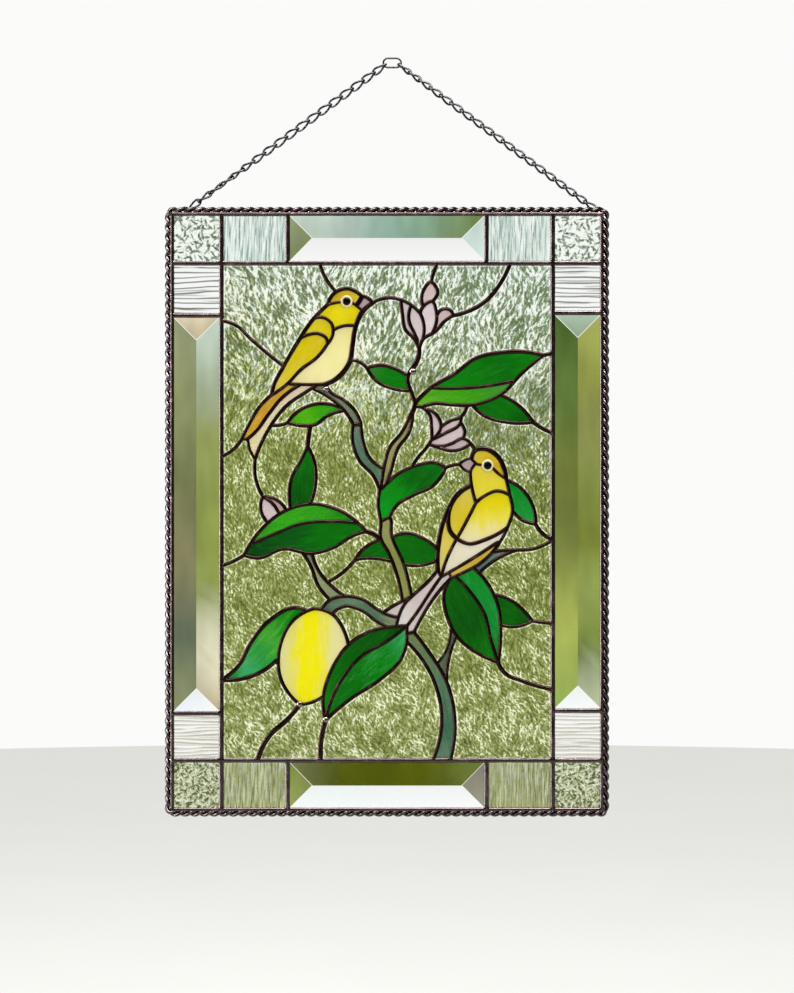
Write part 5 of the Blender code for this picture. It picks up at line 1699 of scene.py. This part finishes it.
@dataclass
class BevelledStrip:
    """A peaked bevel: flat behind, with mitred slopes that rise to a ridge along its front."""

    name: str
    low: Array
    high: Array
    # How far the rim and the ridge stand in front of the panel's middle
    edge_depth: float = 1.5
    ridge_depth: float = 4.0
    # Length of the strips that the long slopes are divided into, and width of the polished mitre edges
    division: float = 14.0
    mitre: float = 0.25
    # Painted shade: how much darker the slopes are painted along the rim
    painted_rim_shade: float = 0.84

    def build(self) -> bpy.types.Object:
        """Build the bevel, each of its slopes painted with its own tones.

        Returns:
            The piece.
        """
        (x0, z0), (x1, z1) = self.low, self.high
        inset = min(x1 - x0, z1 - z0) / 2
        level = x1 - x0 > z1 - z0
        length = x1 - x0 if level else z1 - z0
        many = max(2, round(length / self.division)) + 1
        along, up = (many, 2) if level else (2, many)
        rim = [np.linspace((x0, z0), (x1, z0), along), np.linspace((x1, z0), (x1, z1), up),
               np.linspace((x1, z1), (x0, z1), along), np.linspace((x0, z1), (x0, z0), up)]
        mesh = bmesh.new()
        known: dict[tuple, bmesh.types.BMVert] = {}

        def corner(x: float, z: float, depth: float) -> bmesh.types.BMVert:
            """Give the mesh's point at a place, which is made if there is none.

            Args:
                x: The place on the drawing.
                z: The same.
                depth: How far in front of the panel's middle it is.

            Returns:
                The point.
            """
            key = (round(float(x), 4), round(float(z), 4), depth)
            if key not in known:
                known[key] = mesh.verts.new(to_row(np.array([(x, z)]), depth)[0])
            return known[key]

        def above(x: float, z: float) -> bmesh.types.BMVert:
            """Give the point of the ridge that lies inward of a place on the rim.

            Args:
                x: The place on the drawing.
                z: The same.

            Returns:
                The point.
            """
            share = (x - x0) / (x1 - x0) if level else (z - z0) / (z1 - z0)
            reach = inset + (length - 2 * inset) * share
            right, rise = (reach, inset) if level else (inset, reach)
            return corner(x0 + right, z0 + rise, self.ridge_depth)

        for side in rim:
            for here, there in zip(side, side[1:]):
                low, high = corner(*here, self.edge_depth), corner(*there, self.edge_depth)
                tops = list(dict.fromkeys((above(*there), above(*here))))
                mesh.faces.new([low, high, *tops])
                behind = corner(*there, -GLASS_T / 2), corner(*here, -GLASS_T / 2)
                mesh.faces.new([high, low, *behind[::-1]])
        mesh.faces.new([corner(*place, -GLASS_T / 2) for side in rim[::-1] for place in side[:0:-1]])
        ends = {corner(x, z, self.edge_depth) for x in (x0, x1) for z in (z0, z1)}
        mitres = [edge for edge in mesh.edges if len(ends & set(edge.verts)) == 1
                  and any(abs(v.co.y + self.ridge_depth * MM) < 1e-6 for v in edge.verts)]
        bmesh.ops.bevel(mesh, geom=mitres, offset=self.mitre * MM, segments=1, affect="EDGES")
        mesh.normal_update()
        piece = self._piece(mesh)
        mesh.free()
        return piece

    def _piece(self, mesh: bmesh.types.BMesh) -> bpy.types.Object:
        """Make a piece of the finished mesh.

        Args:
            mesh: The bevel's mesh.

        Returns:
            The piece, with the painted light of each corner of its faces.
        """
        mesh.verts.index_update()
        verts = np.array([tuple(vert.co) for vert in mesh.verts])
        faces = [tuple(vert.index for vert in face.verts) for face in mesh.faces]
        piece = add_piece(self.name + "_glass", verts, faces, POLISHED.material(),
                          (self.name,), np.ones(len(faces), bool))
        shade = piece.data.color_attributes.new("slope_tone", "FLOAT_COLOR", "CORNER")
        low, high = verts.min(axis=0), verts.max(axis=0)
        for polygon in piece.data.polygons:
            tilt_x, depth, tilt_z = polygon.normal
            for number in polygon.loop_indices:
                place = verts[piece.data.loops[number].vertex_index]
                shade.data[number].color = self._tone(tilt_x, tilt_z, depth, (place - low) / (high - low))
        return piece

    def _tone(self, tilt_x: float, tilt_z: float, depth: float, place: Array) -> Colour:
        """Find the painted light of a corner of a face.

        Args:
            tilt_x: How far the face looks to the right.
            tilt_z: How far it looks up.
            depth: How far it looks back.
            place: Where the corner is, as shares of the bevel's width, depth and height.

        Returns:
            The base colour of the glass there.
        """
        most, least = sorted((abs(tilt_x), abs(tilt_z)), reverse=True)
        in_front, sloping, mitred = depth < -0.5, most > 0.02, least > 0.2 * most
        if mitred or not (in_front and sloping):
            return CLEAR
        tones = BEVELS[self.name]
        if abs(tilt_z) > abs(tilt_x):
            texts, share = (tones.up if tilt_z > 0 else tones.down), place[0]
        else:
            texts, share = (tones.right if tilt_x > 0 else tones.left), place[2]
        stops = np.array([seen_through(text, faces=1)[:3] for text in texts.split()])
        stations = np.linspace(0, 1, len(stops))
        shade = 1.0 if place[1] > 0.4 else self.painted_rim_shade
        return (*(float(np.interp(share, stations, stops[:, k])) * shade for k in range(3)), 1.0)


@dataclass
class Glazing:
    """All the glass: the coloured panes of the picture, the clear ground, and the border's pieces."""

    solder: SolderLattice
    loops: list[Loop]

    def build(self) -> None:
        """Build every pane in the loop that it lies in. A loop round no known place is clear ground."""
        seeds = {name: np.array((spec.x, spec.z)) + PICTURE_SHIFT for name, spec in PANES.items()}
        seeds.update(self._border_seeds())
        textures = {Relief.HAMMERED: HAMMERED.material(), Relief.GLUE_CHIP: GLUE_CHIP.material(),
                    Relief.REEDED: REEDED.material(), Relief.RIBBED: RIBBED.material()}
        ground = 0
        for loop in self.loops:
            names = [name for name, seed in seeds.items() if inside(loop.points, seed[None])[0]]
            if not names:
                ground += 1
                self._pane(f"clear_ground_{ground:02d}", loop, Relief.HAMMERED, Sheet.HAMMERED,
                           textures[Relief.HAMMERED])
            elif names[0] in PANES:
                self._coloured(names[0], loop)
            elif names[0].startswith("bevel"):
                opening = self.solder.opening(loop)
                lap = self.solder.lap
                BevelledStrip(names[0], opening.min(axis=0) - lap, opening.max(axis=0) + lap).build()
            else:
                relief, sheet = self._border_sheet(names[0])
                self._pane(names[0], loop, relief, sheet, textures[relief])

    def _pane(self, name: str, loop: Loop, relief: Relief, sheet: Sheet, material: bpy.types.Material,
              lie: float = 0.0, turn: float = 0.0) -> None:
        """Build one pane, which stands for the solid of its name if there is one.

        Args:
            name: The pane's name.
            loop: The loop of seams round it.
            relief: How its front was rolled.
            sheet: What it is cut from.
            material: What it is dressed in.
            lie: The direction that its colours follow, in degrees.
            turn: How far its streaks are turned from that.
        """
        solid = (name,) if name in bpy.data.objects else ()
        outline = self.solder.glass_outline(loop)
        GlassPane(f"{name}_glass", outline, relief, sheet.value, material, lie, turn, solid).build()

    def _coloured(self, name: str, loop: Loop) -> None:
        """Build a pane of the picture from its own piece of streaky glass.

        Args:
            name: The pane's name.
            loop: The loop of seams round it.
        """
        spec = PANES[name]
        clearness, wisps, wisp_colour = SHEETS[spec.sheet]
        finish = StreakyGlass(f"{name}_{spec.sheet.value}", 0.07, ior=1.52, clearness=clearness,
                              colours=tuple(spec.colours.split()), wisps=wisps, wisp_colour=wisp_colour)
        self._pane(name, loop, Relief.ROLLED, spec.sheet, finish.material(), spec.lie, spec.turn)

    @staticmethod
    def _border_sheet(name: str) -> tuple[Relief, Sheet]:
        """Tell what a piece of the border is cut from.

        Args:
            name: The piece's name.

        Returns:
            Its relief and its sheet.
        """
        if name.startswith("corner"):
            return Relief.GLUE_CHIP, Sheet.GLUE_CHIP
        return (Relief.REEDED if name.startswith("reeded") else Relief.RIBBED), Sheet.REEDED

    @staticmethod
    def _border_seeds() -> dict[str, Array]:
        """Find a place inside each piece of the border.

        Returns:
            The places by the pieces' names.
        """
        low, half, half_block = -BORDER / 2, BORDER / 2, BLOCK_W / 2
        seeds = {}
        for end, z in (("bottom", low), ("top", FIELD_H + half)):
            seeds[f"bevel_{end}"] = (FIELD_W / 2, z)
            for side, corner_x, block_x in (("left", low, half_block),
                                            ("right", FIELD_W + half, FIELD_W - half_block)):
                seeds[f"corner_square_{end}_{side}"] = (corner_x, z)
                seeds[f"reeded_block_{end}_{side}"] = (block_x, z)
        for side, x in (("left", low), ("right", FIELD_W + half)):
            seeds[f"bevel_{side}"] = (x, FIELD_H / 2)
            seeds[f"ribbed_block_{side}_bottom"] = (x, half)
            seeds[f"ribbed_block_{side}_top"] = (x, FIELD_H - half)
        return {name: np.array(seed) for name, seed in seeds.items()}


def tube(line: Array, radius: float, around: Array, sections: int) -> tuple[Array, list]:
    """Lay a round wire along a closed line.

    Args:
        line: The wire's centre line, one point per line.
        radius: The wire's radius.
        around: For each point, a direction that the wire's seam looks along.
        sections: How many points go round the wire.

    Returns:
        Points and faces.
    """
    ways = np.roll(line, -1, axis=0) - np.roll(line, 1, axis=0)
    ways /= np.linalg.norm(ways, axis=1)[:, None]
    first = around - ways * (around * ways).sum(axis=1)[:, None]
    first /= np.linalg.norm(first, axis=1)[:, None]
    second = np.cross(ways, first)
    turn = spokes(sections)[None, :, :, None]
    rings = line[:, None] + radius * (turn[:, :, 0] * first[:, None] + turn[:, :, 1] * second[:, None])
    numbers = np.arange(len(line) * sections).reshape(len(line), sections)
    faces = []
    for k in range(sections):
        faces += bridge(numbers[:, (k + 1) % sections], numbers[:, k])
    return rings.reshape(-1, 3), faces


def round_box(low: Array, high: Array, corner_r: float, count: int) -> tuple[Array, Array]:
    """Walk round a box with rounded corners, clockwise from the left end of its top side.

    Args:
        low: Lowest coordinates of the middles of its corners' curves.
        high: Highest coordinates of them.
        corner_r: Radius of the corners' curves.
        count: How many points to take, evenly spaced.

    Returns:
        The points, and the outward direction at each.
    """
    runs = (high - low)[[0, 1, 0, 1]]
    starts = np.cumsum([0.0, *(runs + math.pi / 2 * corner_r)])
    corners = np.array([(low[0], high[1]), (high[0], high[1]), (high[0], low[1]), (low[0], low[1])])
    walked = np.arange(count) * starts[-1] / count
    side = np.searchsorted(starts[:4], walked, side="right") - 1
    way, heading = walked - starts[side], -math.pi / 2 * side
    straight = np.minimum(way, runs[side])[:, None]
    angle = heading - (way - straight[:, 0]) / corner_r
    outs = np.stack([-np.sin(angle), np.cos(angle)], axis=1)
    ahead = np.stack([np.cos(heading), np.sin(heading)], axis=1)
    return corners[side] + straight * ahead + outs * corner_r, outs


@dataclass
class RopeEdge:
    """The rope of two twisted wires that is soldered round the panel."""

    # How far the rope's middle lies outside the border's edge seam
    centre_out: float = 2.5
    corner_r: float = 3.5
    wire_r: float = 1.4
    # Length of one turn of the rope
    lay: float = 14.8
    steps_per_lay: int = 20
    sections: int = 10

    def path(self, count: int) -> tuple[Array, Array]:
        """Lay the rope's middle line round the panel.

        Args:
            count: How many points to take.

        Returns:
            The points, clockwise from the top left, and the outward direction at each.
        """
        reach = BORDER + self.centre_out - self.corner_r
        low, high = np.array((-reach, -reach)), np.array((FIELD_W + reach, FIELD_H + reach))
        return round_box(low, high, self.corner_r, count)

    def turns(self) -> int:
        """Count the whole turns that the rope makes on its way round.

        Returns:
            Their number.
        """
        reach = BORDER + self.centre_out - self.corner_r
        way = 2 * (FIELD_W + FIELD_H + 4 * reach) + 2 * math.pi * self.corner_r
        return round(way / self.lay)

    def build(self) -> bpy.types.Object:
        """Build both wires.

        Returns:
            The piece.
        """
        turns = self.turns()
        count = turns * self.steps_per_lay
        places, outs = self.path(count)
        angle = -2 * math.pi * turns * np.arange(count) / count
        wires = []
        for half in (0.0, math.pi):
            c, s = np.cos(angle + half), np.sin(angle + half)
            around = np.stack([outs[:, 0] * c, -s, outs[:, 1] * c], axis=1)
            wires.append(tube(to_row(places, 0.0) + around * self.wire_r * MM, self.wire_r * MM, around,
                              self.sections))
        verts, faces = joined(wires)
        # The front and back of each wire are painted lighter, partly as wear and partly as a painted
        # highlight
        crest = np.clip(np.abs(verts[:, 1]) / MM / self.wire_r - 1, 0, 1)
        return add_piece("twisted_wire_rope", verts, faces, ROPE_WIRE.material(),
                         ("twisted_wire_edge",), values={"crest": crest})


@dataclass
class CurbChain:
    """The hanging chain: two runs of twisted links, and the link at the top that lies over the hook."""

    ring_x: dict[str, float] = field(default_factory=lambda: {"left": -27.5, "right": 288.6})
    links: dict[str, int] = field(default_factory=lambda: {"left": 18, "right": 19})
    # Turn of the links about the run, in degrees, at shares of the way up
    turns: dict[str, tuple] = field(default_factory=lambda: {
        "left": ((0, 140), (0.08, 112), (0.2, 92), (0.34, 62), (0.5, 46), (0.9, 46), (1, 60)),
        "right": ((0, -44), (0.8, -44), (1, -66))})
    ring_z: float = 421.8
    ring_back: float = 4.55
    ring_r: float = 3.0
    ring_wire_r: float = 0.75
    # Half the width, depth and height of the solder that holds a ring, and how far it is set in from the ring
    blob: tuple[float, float, float] = (2.3, 1.5, 1.7)
    blob_in: float = 0.6
    wire_r: float = 0.84
    width: float = 5.5
    # How far the end links reach past the wire that they hang on
    hooked_in: float = 1.75
    # How far each curb link is twisted, in degrees
    twist: float = 88.0
    top_length: float = 15.0
    top_width: float = 8.4
    top_wire_r: float = 0.7
    steps: int = 36
    sections: int = 8

    @staticmethod
    def _oval(length: float, width: float, steps: int) -> Array:
        """Draw a link's centre line, between an ellipse and a box with round ends.

        Args:
            length: Length of the line from end to end.
            width: Its width.
            steps: How many points it has.

        Returns:
            Points round it, along and up.
        """
        ways = spokes(steps) * (1, -1)
        return np.sign(ways) * np.abs(ways) ** 0.85 * (length, width) / 2

    def build_run(self, side: str) -> bpy.types.Object:
        """Build one run of links, from its ring up to the top link.

        Args:
            side: Which run, left or right.

        Returns:
            The piece.
        """
        way = 1 if side == "left" else -1
        ring = Vector((self.ring_x[side] - HANG[0], self.ring_back, self.ring_z - HANG[1]))
        bend = Vector((-way * (self.top_length - self.top_width) / 2, 0, 0))
        along = (bend - ring).normalized()
        start = ring + along * (self.ring_r - self.hooked_in)
        end = bend - along * (self.top_width / 2 - self.top_wire_r - self.hooked_in)
        up = (Vector((0, 0, 1)) - along * along.z).normalized()
        axes = np.array([along, up, along.cross(up)])
        bite = 2 * self.wire_r
        pitch = ((end - start).length - bite) / self.links[side]
        outline = self._oval(pitch + bite, self.width, self.steps)
        share = outline[:, 0] / (pitch + bite)
        stations, turns = zip(*self.turns[side])
        links = []
        for i in range(self.links[side]):
            turn = np.radians(np.interp(i / (self.links[side] - 1), stations, turns)) * way
            angle = turn + np.radians(self.twist) * share
            line = np.stack([bite / 2 + (i + 0.5) * pitch + outline[:, 0], outline[:, 1] * np.cos(angle),
                             outline[:, 1] * np.sin(angle)], axis=1)
            around = np.stack([np.zeros(len(line)), -np.sin(angle), np.cos(angle)], axis=1)
            own, faces = tube(line, self.wire_r, around, self.sections)
            links.append(((np.array(start) + own @ axes) * MM, faces))
        verts, faces = joined(links)
        return add_piece(f"chain_{side}_curb_links", verts, faces, GUNMETAL.material(),
                         (f"chain_{side}",), values={"crest": np.full(len(verts), 0.2)})

    def build_top_link(self) -> bpy.types.Object:
        """Build the link that lies across the hook.

        Returns:
            The piece.
        """
        radius = self.top_width / 2 - self.top_wire_r
        end = np.array((self.top_length / 2 - self.top_wire_r - radius, 0.0))
        places, _ = round_box(-end, end, radius, 48)
        line = np.insert(places, 1, 0.0, axis=1)
        around = np.broadcast_to(np.array((0.0, 1.0, 0.0)), line.shape)
        verts, faces = tube(line, self.top_wire_r, around, 12)
        return add_piece("top_link_wire", verts * MM, faces, GUNMETAL.material(),
                         ("top_link",), values={"crest": np.full(len(verts), 0.2)})

    def build_ring(self, side: str) -> bpy.types.Object:
        """Build a wire ring behind the top edge, with the blob of solder that holds it.

        Args:
            side: Which ring, left or right.

        Returns:
            The piece.
        """
        middle = np.array((self.ring_x[side], self.ring_z))
        outs = spokes(40)
        line = to_row(middle + outs * self.ring_r, -self.ring_back)
        wire = tube(line, self.ring_wire_r * MM, np.insert(outs, 1, 0.0, axis=1), 10)
        blob = lump(middle - (0, self.ring_r), self.blob_in - self.ring_back, self.blob, 81)
        verts, faces = joined((wire, blob))
        # The blob doesn't stand out behind the ring
        verts[:, 1] = np.minimum(verts[:, 1], (self.ring_back + self.ring_wire_r - 0.01) * MM)
        return add_piece(f"ring_{side}_wire_and_solder", verts, faces, RAW_SOLDER.material(),
                         (f"ring_{side}",), values={"crest": np.full(len(verts), 0.3)})


def lump(place: Array, depth: float, size: tuple[float, float, float], seed: int,
         rings: int = 8, sections: int = 12) -> tuple[Array, list]:
    """Shape an uneven rounded drop.

    Args:
        place: Its middle on the drawing.
        depth: How far in front of the panel's middle it is.
        size: Half its width, depth and height, in millimetres.
        seed: What its unevenness comes from.
        rings: Number of rings from pole to pole.
        sections: Points in each ring.

    Returns:
        Points in metres, and faces.
    """
    polar = math.pi * (np.arange(rings) + 0.5) / rings
    round_about = 2 * math.pi * np.arange(sections) / sections
    p, r = np.meshgrid(polar, round_about, indexing="ij")
    shape = np.stack([np.sin(p) * np.cos(r), -np.cos(p), np.sin(p) * np.sin(r)], axis=2).reshape(-1, 3)
    uneven = 1 - 0.2 * Noise(seed).at(2 * shape[:, 0] + 9, 2 * shape[:, 2] + shape[:, 1] + 9)
    centre = to_row(np.array([place]), depth)[0]
    verts = centre + shape * uneven[:, None] * np.array(size) * MM
    return verts, capped(rings, sections)


@dataclass
class SolderDrops:
    """Round drops of solder: a few on the seams, and the tacks that hold the rope."""

    drops: tuple[tuple[float, float], ...] = ((79.7, 284.8), (145.8, 298.3), (59.5, 43.3), (79.3, 31.5))
    # Half the width, depth and height of a drop and of a tack, and how far each is set in front
    drop: tuple[float, float, float] = (2.9, 1.9, 2.9)
    drop_depth: float = 1.9
    tack: tuple[float, float, float] = (1.0, 0.85, 1.0)
    tack_depth: float = 1.35
    # How far outside the border's edge seam the tacks sit
    tack_out: float = 1.0

    def build(self, rope: RopeEdge) -> None:
        """Build the drops and the tacks.

        Args:
            rope: The rope that the tacks hold.
        """
        drops = np.array(self.drops) + PICTURE_SHIFT
        self._build_many("solder_drops", drops, self.drop_depth, self.drop, 8, 14)
        places, outs = rope.path(rope.turns() * 2)
        inward = outs * (rope.centre_out - self.tack_out)
        self._build_many("rope_tacks", places - inward, self.tack_depth, self.tack, 5, 8)

    @staticmethod
    def _build_many(name: str, places: Array, depth: float, size: tuple[float, float, float], rings: int,
                    sections: int) -> None:
        """Build many drops as one piece.

        Args:
            name: The piece's name.
            places: The drops' middles on the drawing.
            depth: How far in front of the panel's middle they are.
            size: Half the width, depth and height of each.
            rings: Number of rings from pole to pole.
            sections: Points in each ring.
        """
        verts, faces = joined(lump(place, depth, size, 90 + i, rings, sections)
                              for i, place in enumerate(places))
        add_piece(name, verts, faces, RAW_SOLDER.material(),
                  values={"crest": np.full(len(verts), 0.4)})


@dataclass
class BirdEyes:
    """The eyes: on each a cream disc with a rounded rim, and a black bead on it."""

    places: dict[str, tuple[float, float]] = field(default_factory=lambda: {
        "left_bird": (95.2, 352.0), "right_bird": (203.2, 226.3)})
    # Profiles as radius and depth in front of the panel's middle
    ring_profile: tuple[tuple[float, float], ...] = (
        (0.01, 2.75), (3.6, 2.75), (4.3, 2.6), (4.7, 2.1), (4.6, 1.3))
    bead_profile: tuple[tuple[float, float], ...] = (
        (0.01, 3.8), (1.3, 3.75), (2.2, 3.55), (2.8, 3.2), (3.15, 2.7), (3.1, 2.4))
    sections: int = 32

    def build(self) -> None:
        """Build both parts of both eyes."""
        for bird, place in self.places.items():
            middle = np.array(place) + PICTURE_SHIFT
            for part, profile, finish in (("eye_ring", self.ring_profile, EYE_RING),
                                          ("eye_bead", self.bead_profile, EYE_BLACK)):
                verts = np.vstack([to_row(middle + spokes(self.sections) * radius, depth)
                                   for radius, depth in profile])
                add_piece(f"{bird}_{part}", verts, capped(len(profile), self.sections),
                          finish.material())


@dataclass
class Studio:
    """A pale floor, soft light from all round, and the camera at the photograph's angle."""

    floor_z: float = -1.05
    floor_r: float = 5.0
    camera_place: tuple[float, float, float] = (0.0037, -1.798, -0.3325)
    lens: float = 85.0

    def build(self) -> None:
        """Set up the floor, the light and the camera."""
        self._floor()
        self._world()
        aim = Vector((0.0, 0.0, -0.33))
        self._soft_light("key_light", (0.5, -1.0, 1.5), (0.6, 0.6), 22.0, aim)
        self._soft_light("back_light", (-0.4, 1.3, 1.3), (0.7, 0.7), 14.0, aim)
        self._soft_light("top_strip", (0.1, -1.0, 1.3), (2.4, 0.5), 110.0, aim, glints_only=True)
        self._soft_light("side_strip", (-1.85, -0.55, -0.1), (0.35, 1.7), 70.0, aim, glints_only=True)
        self._camera()
        bpy.context.scene.view_settings.view_transform = "Standard"

    def _floor(self) -> None:
        """Lay a round pale floor well below the panel."""
        verts = np.insert(spokes(96) * self.floor_r, 2, self.floor_z, axis=1)
        mesh = bpy.data.meshes.new("floor")
        mesh.from_pydata(verts.tolist(), [], [tuple(range(len(verts)))])
        mesh.materials.append(FLOOR.material())
        floor = bpy.data.objects.new("floor", mesh)
        bpy.context.scene.collection.objects.link(floor)
        floor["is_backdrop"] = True

    @staticmethod
    def _world() -> None:
        """Set up pale surroundings, the same on all sides, and dimmer where a surface mirrors them.

        A matt card round the lens does the same in a studio: it keeps the glass deep in colour.
        """
        world = bpy.data.worlds.new("pale_surroundings")
        world.use_nodes = True
        tree = world.node_tree
        ray = add_node(tree, "LightPath").outputs
        mirrored = add_node(tree, "Math", {"operation": "MULTIPLY"}, i0=ray["Is Glossy Ray"],
                            i1=ray["Is Reflection Ray"])
        strength = add_node(tree, "Math", {"operation": "MULTIPLY_ADD"}, i0=mirrored, i1=MIRRORED - 1.0,
                            i2=1.0)
        plug(tree.nodes["Background"], Color=linear_colour(STUDIO_PALE), Strength=strength)
        world.cycles.sampling_method = "NONE"
        bpy.context.scene.world = world

    @staticmethod
    def _soft_light(name: str, place: tuple[float, float, float], size: tuple[float, float], power: float,
                    aim: Vector, glints_only: bool = False) -> None:
        """Set up an oblong soft light, long side level or upright as its size says.

        Args:
            name: The light's name.
            place: Where its middle is, in metres.
            size: Its width and height, in metres.
            power: Its power in watts.
            aim: Where it points.
            glints_only: Whether it only adds glints to glossy surfaces and leaves matt ones as they are.
        """
        data = bpy.data.lights.new(name, "AREA")
        data.shape = "RECTANGLE"
        data.size, data.size_y = size
        data.energy = power
        light = bpy.data.objects.new(name, data)
        light.location = place
        light.visible_diffuse = not glints_only
        light.rotation_euler = (aim - Vector(place)).to_track_quat("-Z", "Y").to_euler()
        bpy.context.scene.collection.objects.link(light)

    def _camera(self) -> None:
        """Set up the camera, level and square to the panel."""
        data = bpy.data.cameras.new("camera")
        data.lens = self.lens
        data.sensor_width = 36.0
        camera = bpy.data.objects.new("camera", data)
        camera.location = self.camera_place
        camera.rotation_euler = (math.pi / 2, 0.0, 0.0)
        bpy.context.scene.collection.objects.link(camera)
        bpy.context.scene.camera = camera


def as_lists(box: Any) -> Any:
    """Turn a box into plain lists of numbers.

    Args:
        box: A number, or numbers in any nest of sequences.

    Returns:
        The same as floats and lists.
    """
    if isinstance(box, (float, int)):
        return float(box)
    return [as_lists(value) for value in box]


def main() -> None:
    """Build the panel piece by piece, and the studio round it."""
    logging.basicConfig(level=logging.INFO, format="%(message)s")
    solid_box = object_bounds()
    loops = SeamNet().trace()
    solder = SolderLattice()
    solder.build(loops)
    Glazing(solder, loops).build()
    rope = RopeEdge()
    rope.build()
    chain = CurbChain()
    for side in ("left", "right"):
        chain.build_run(side)
        chain.build_ring(side)
    chain.build_top_link()
    SolderDrops().build(rope)
    BirdEyes().build()
    Studio().build()
    {"solid": as_lists(solid_box), "dressed": as_lists(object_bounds())}
    log.info("%d loops of seam", len(loops))


if __name__ == "__main__":
    main()
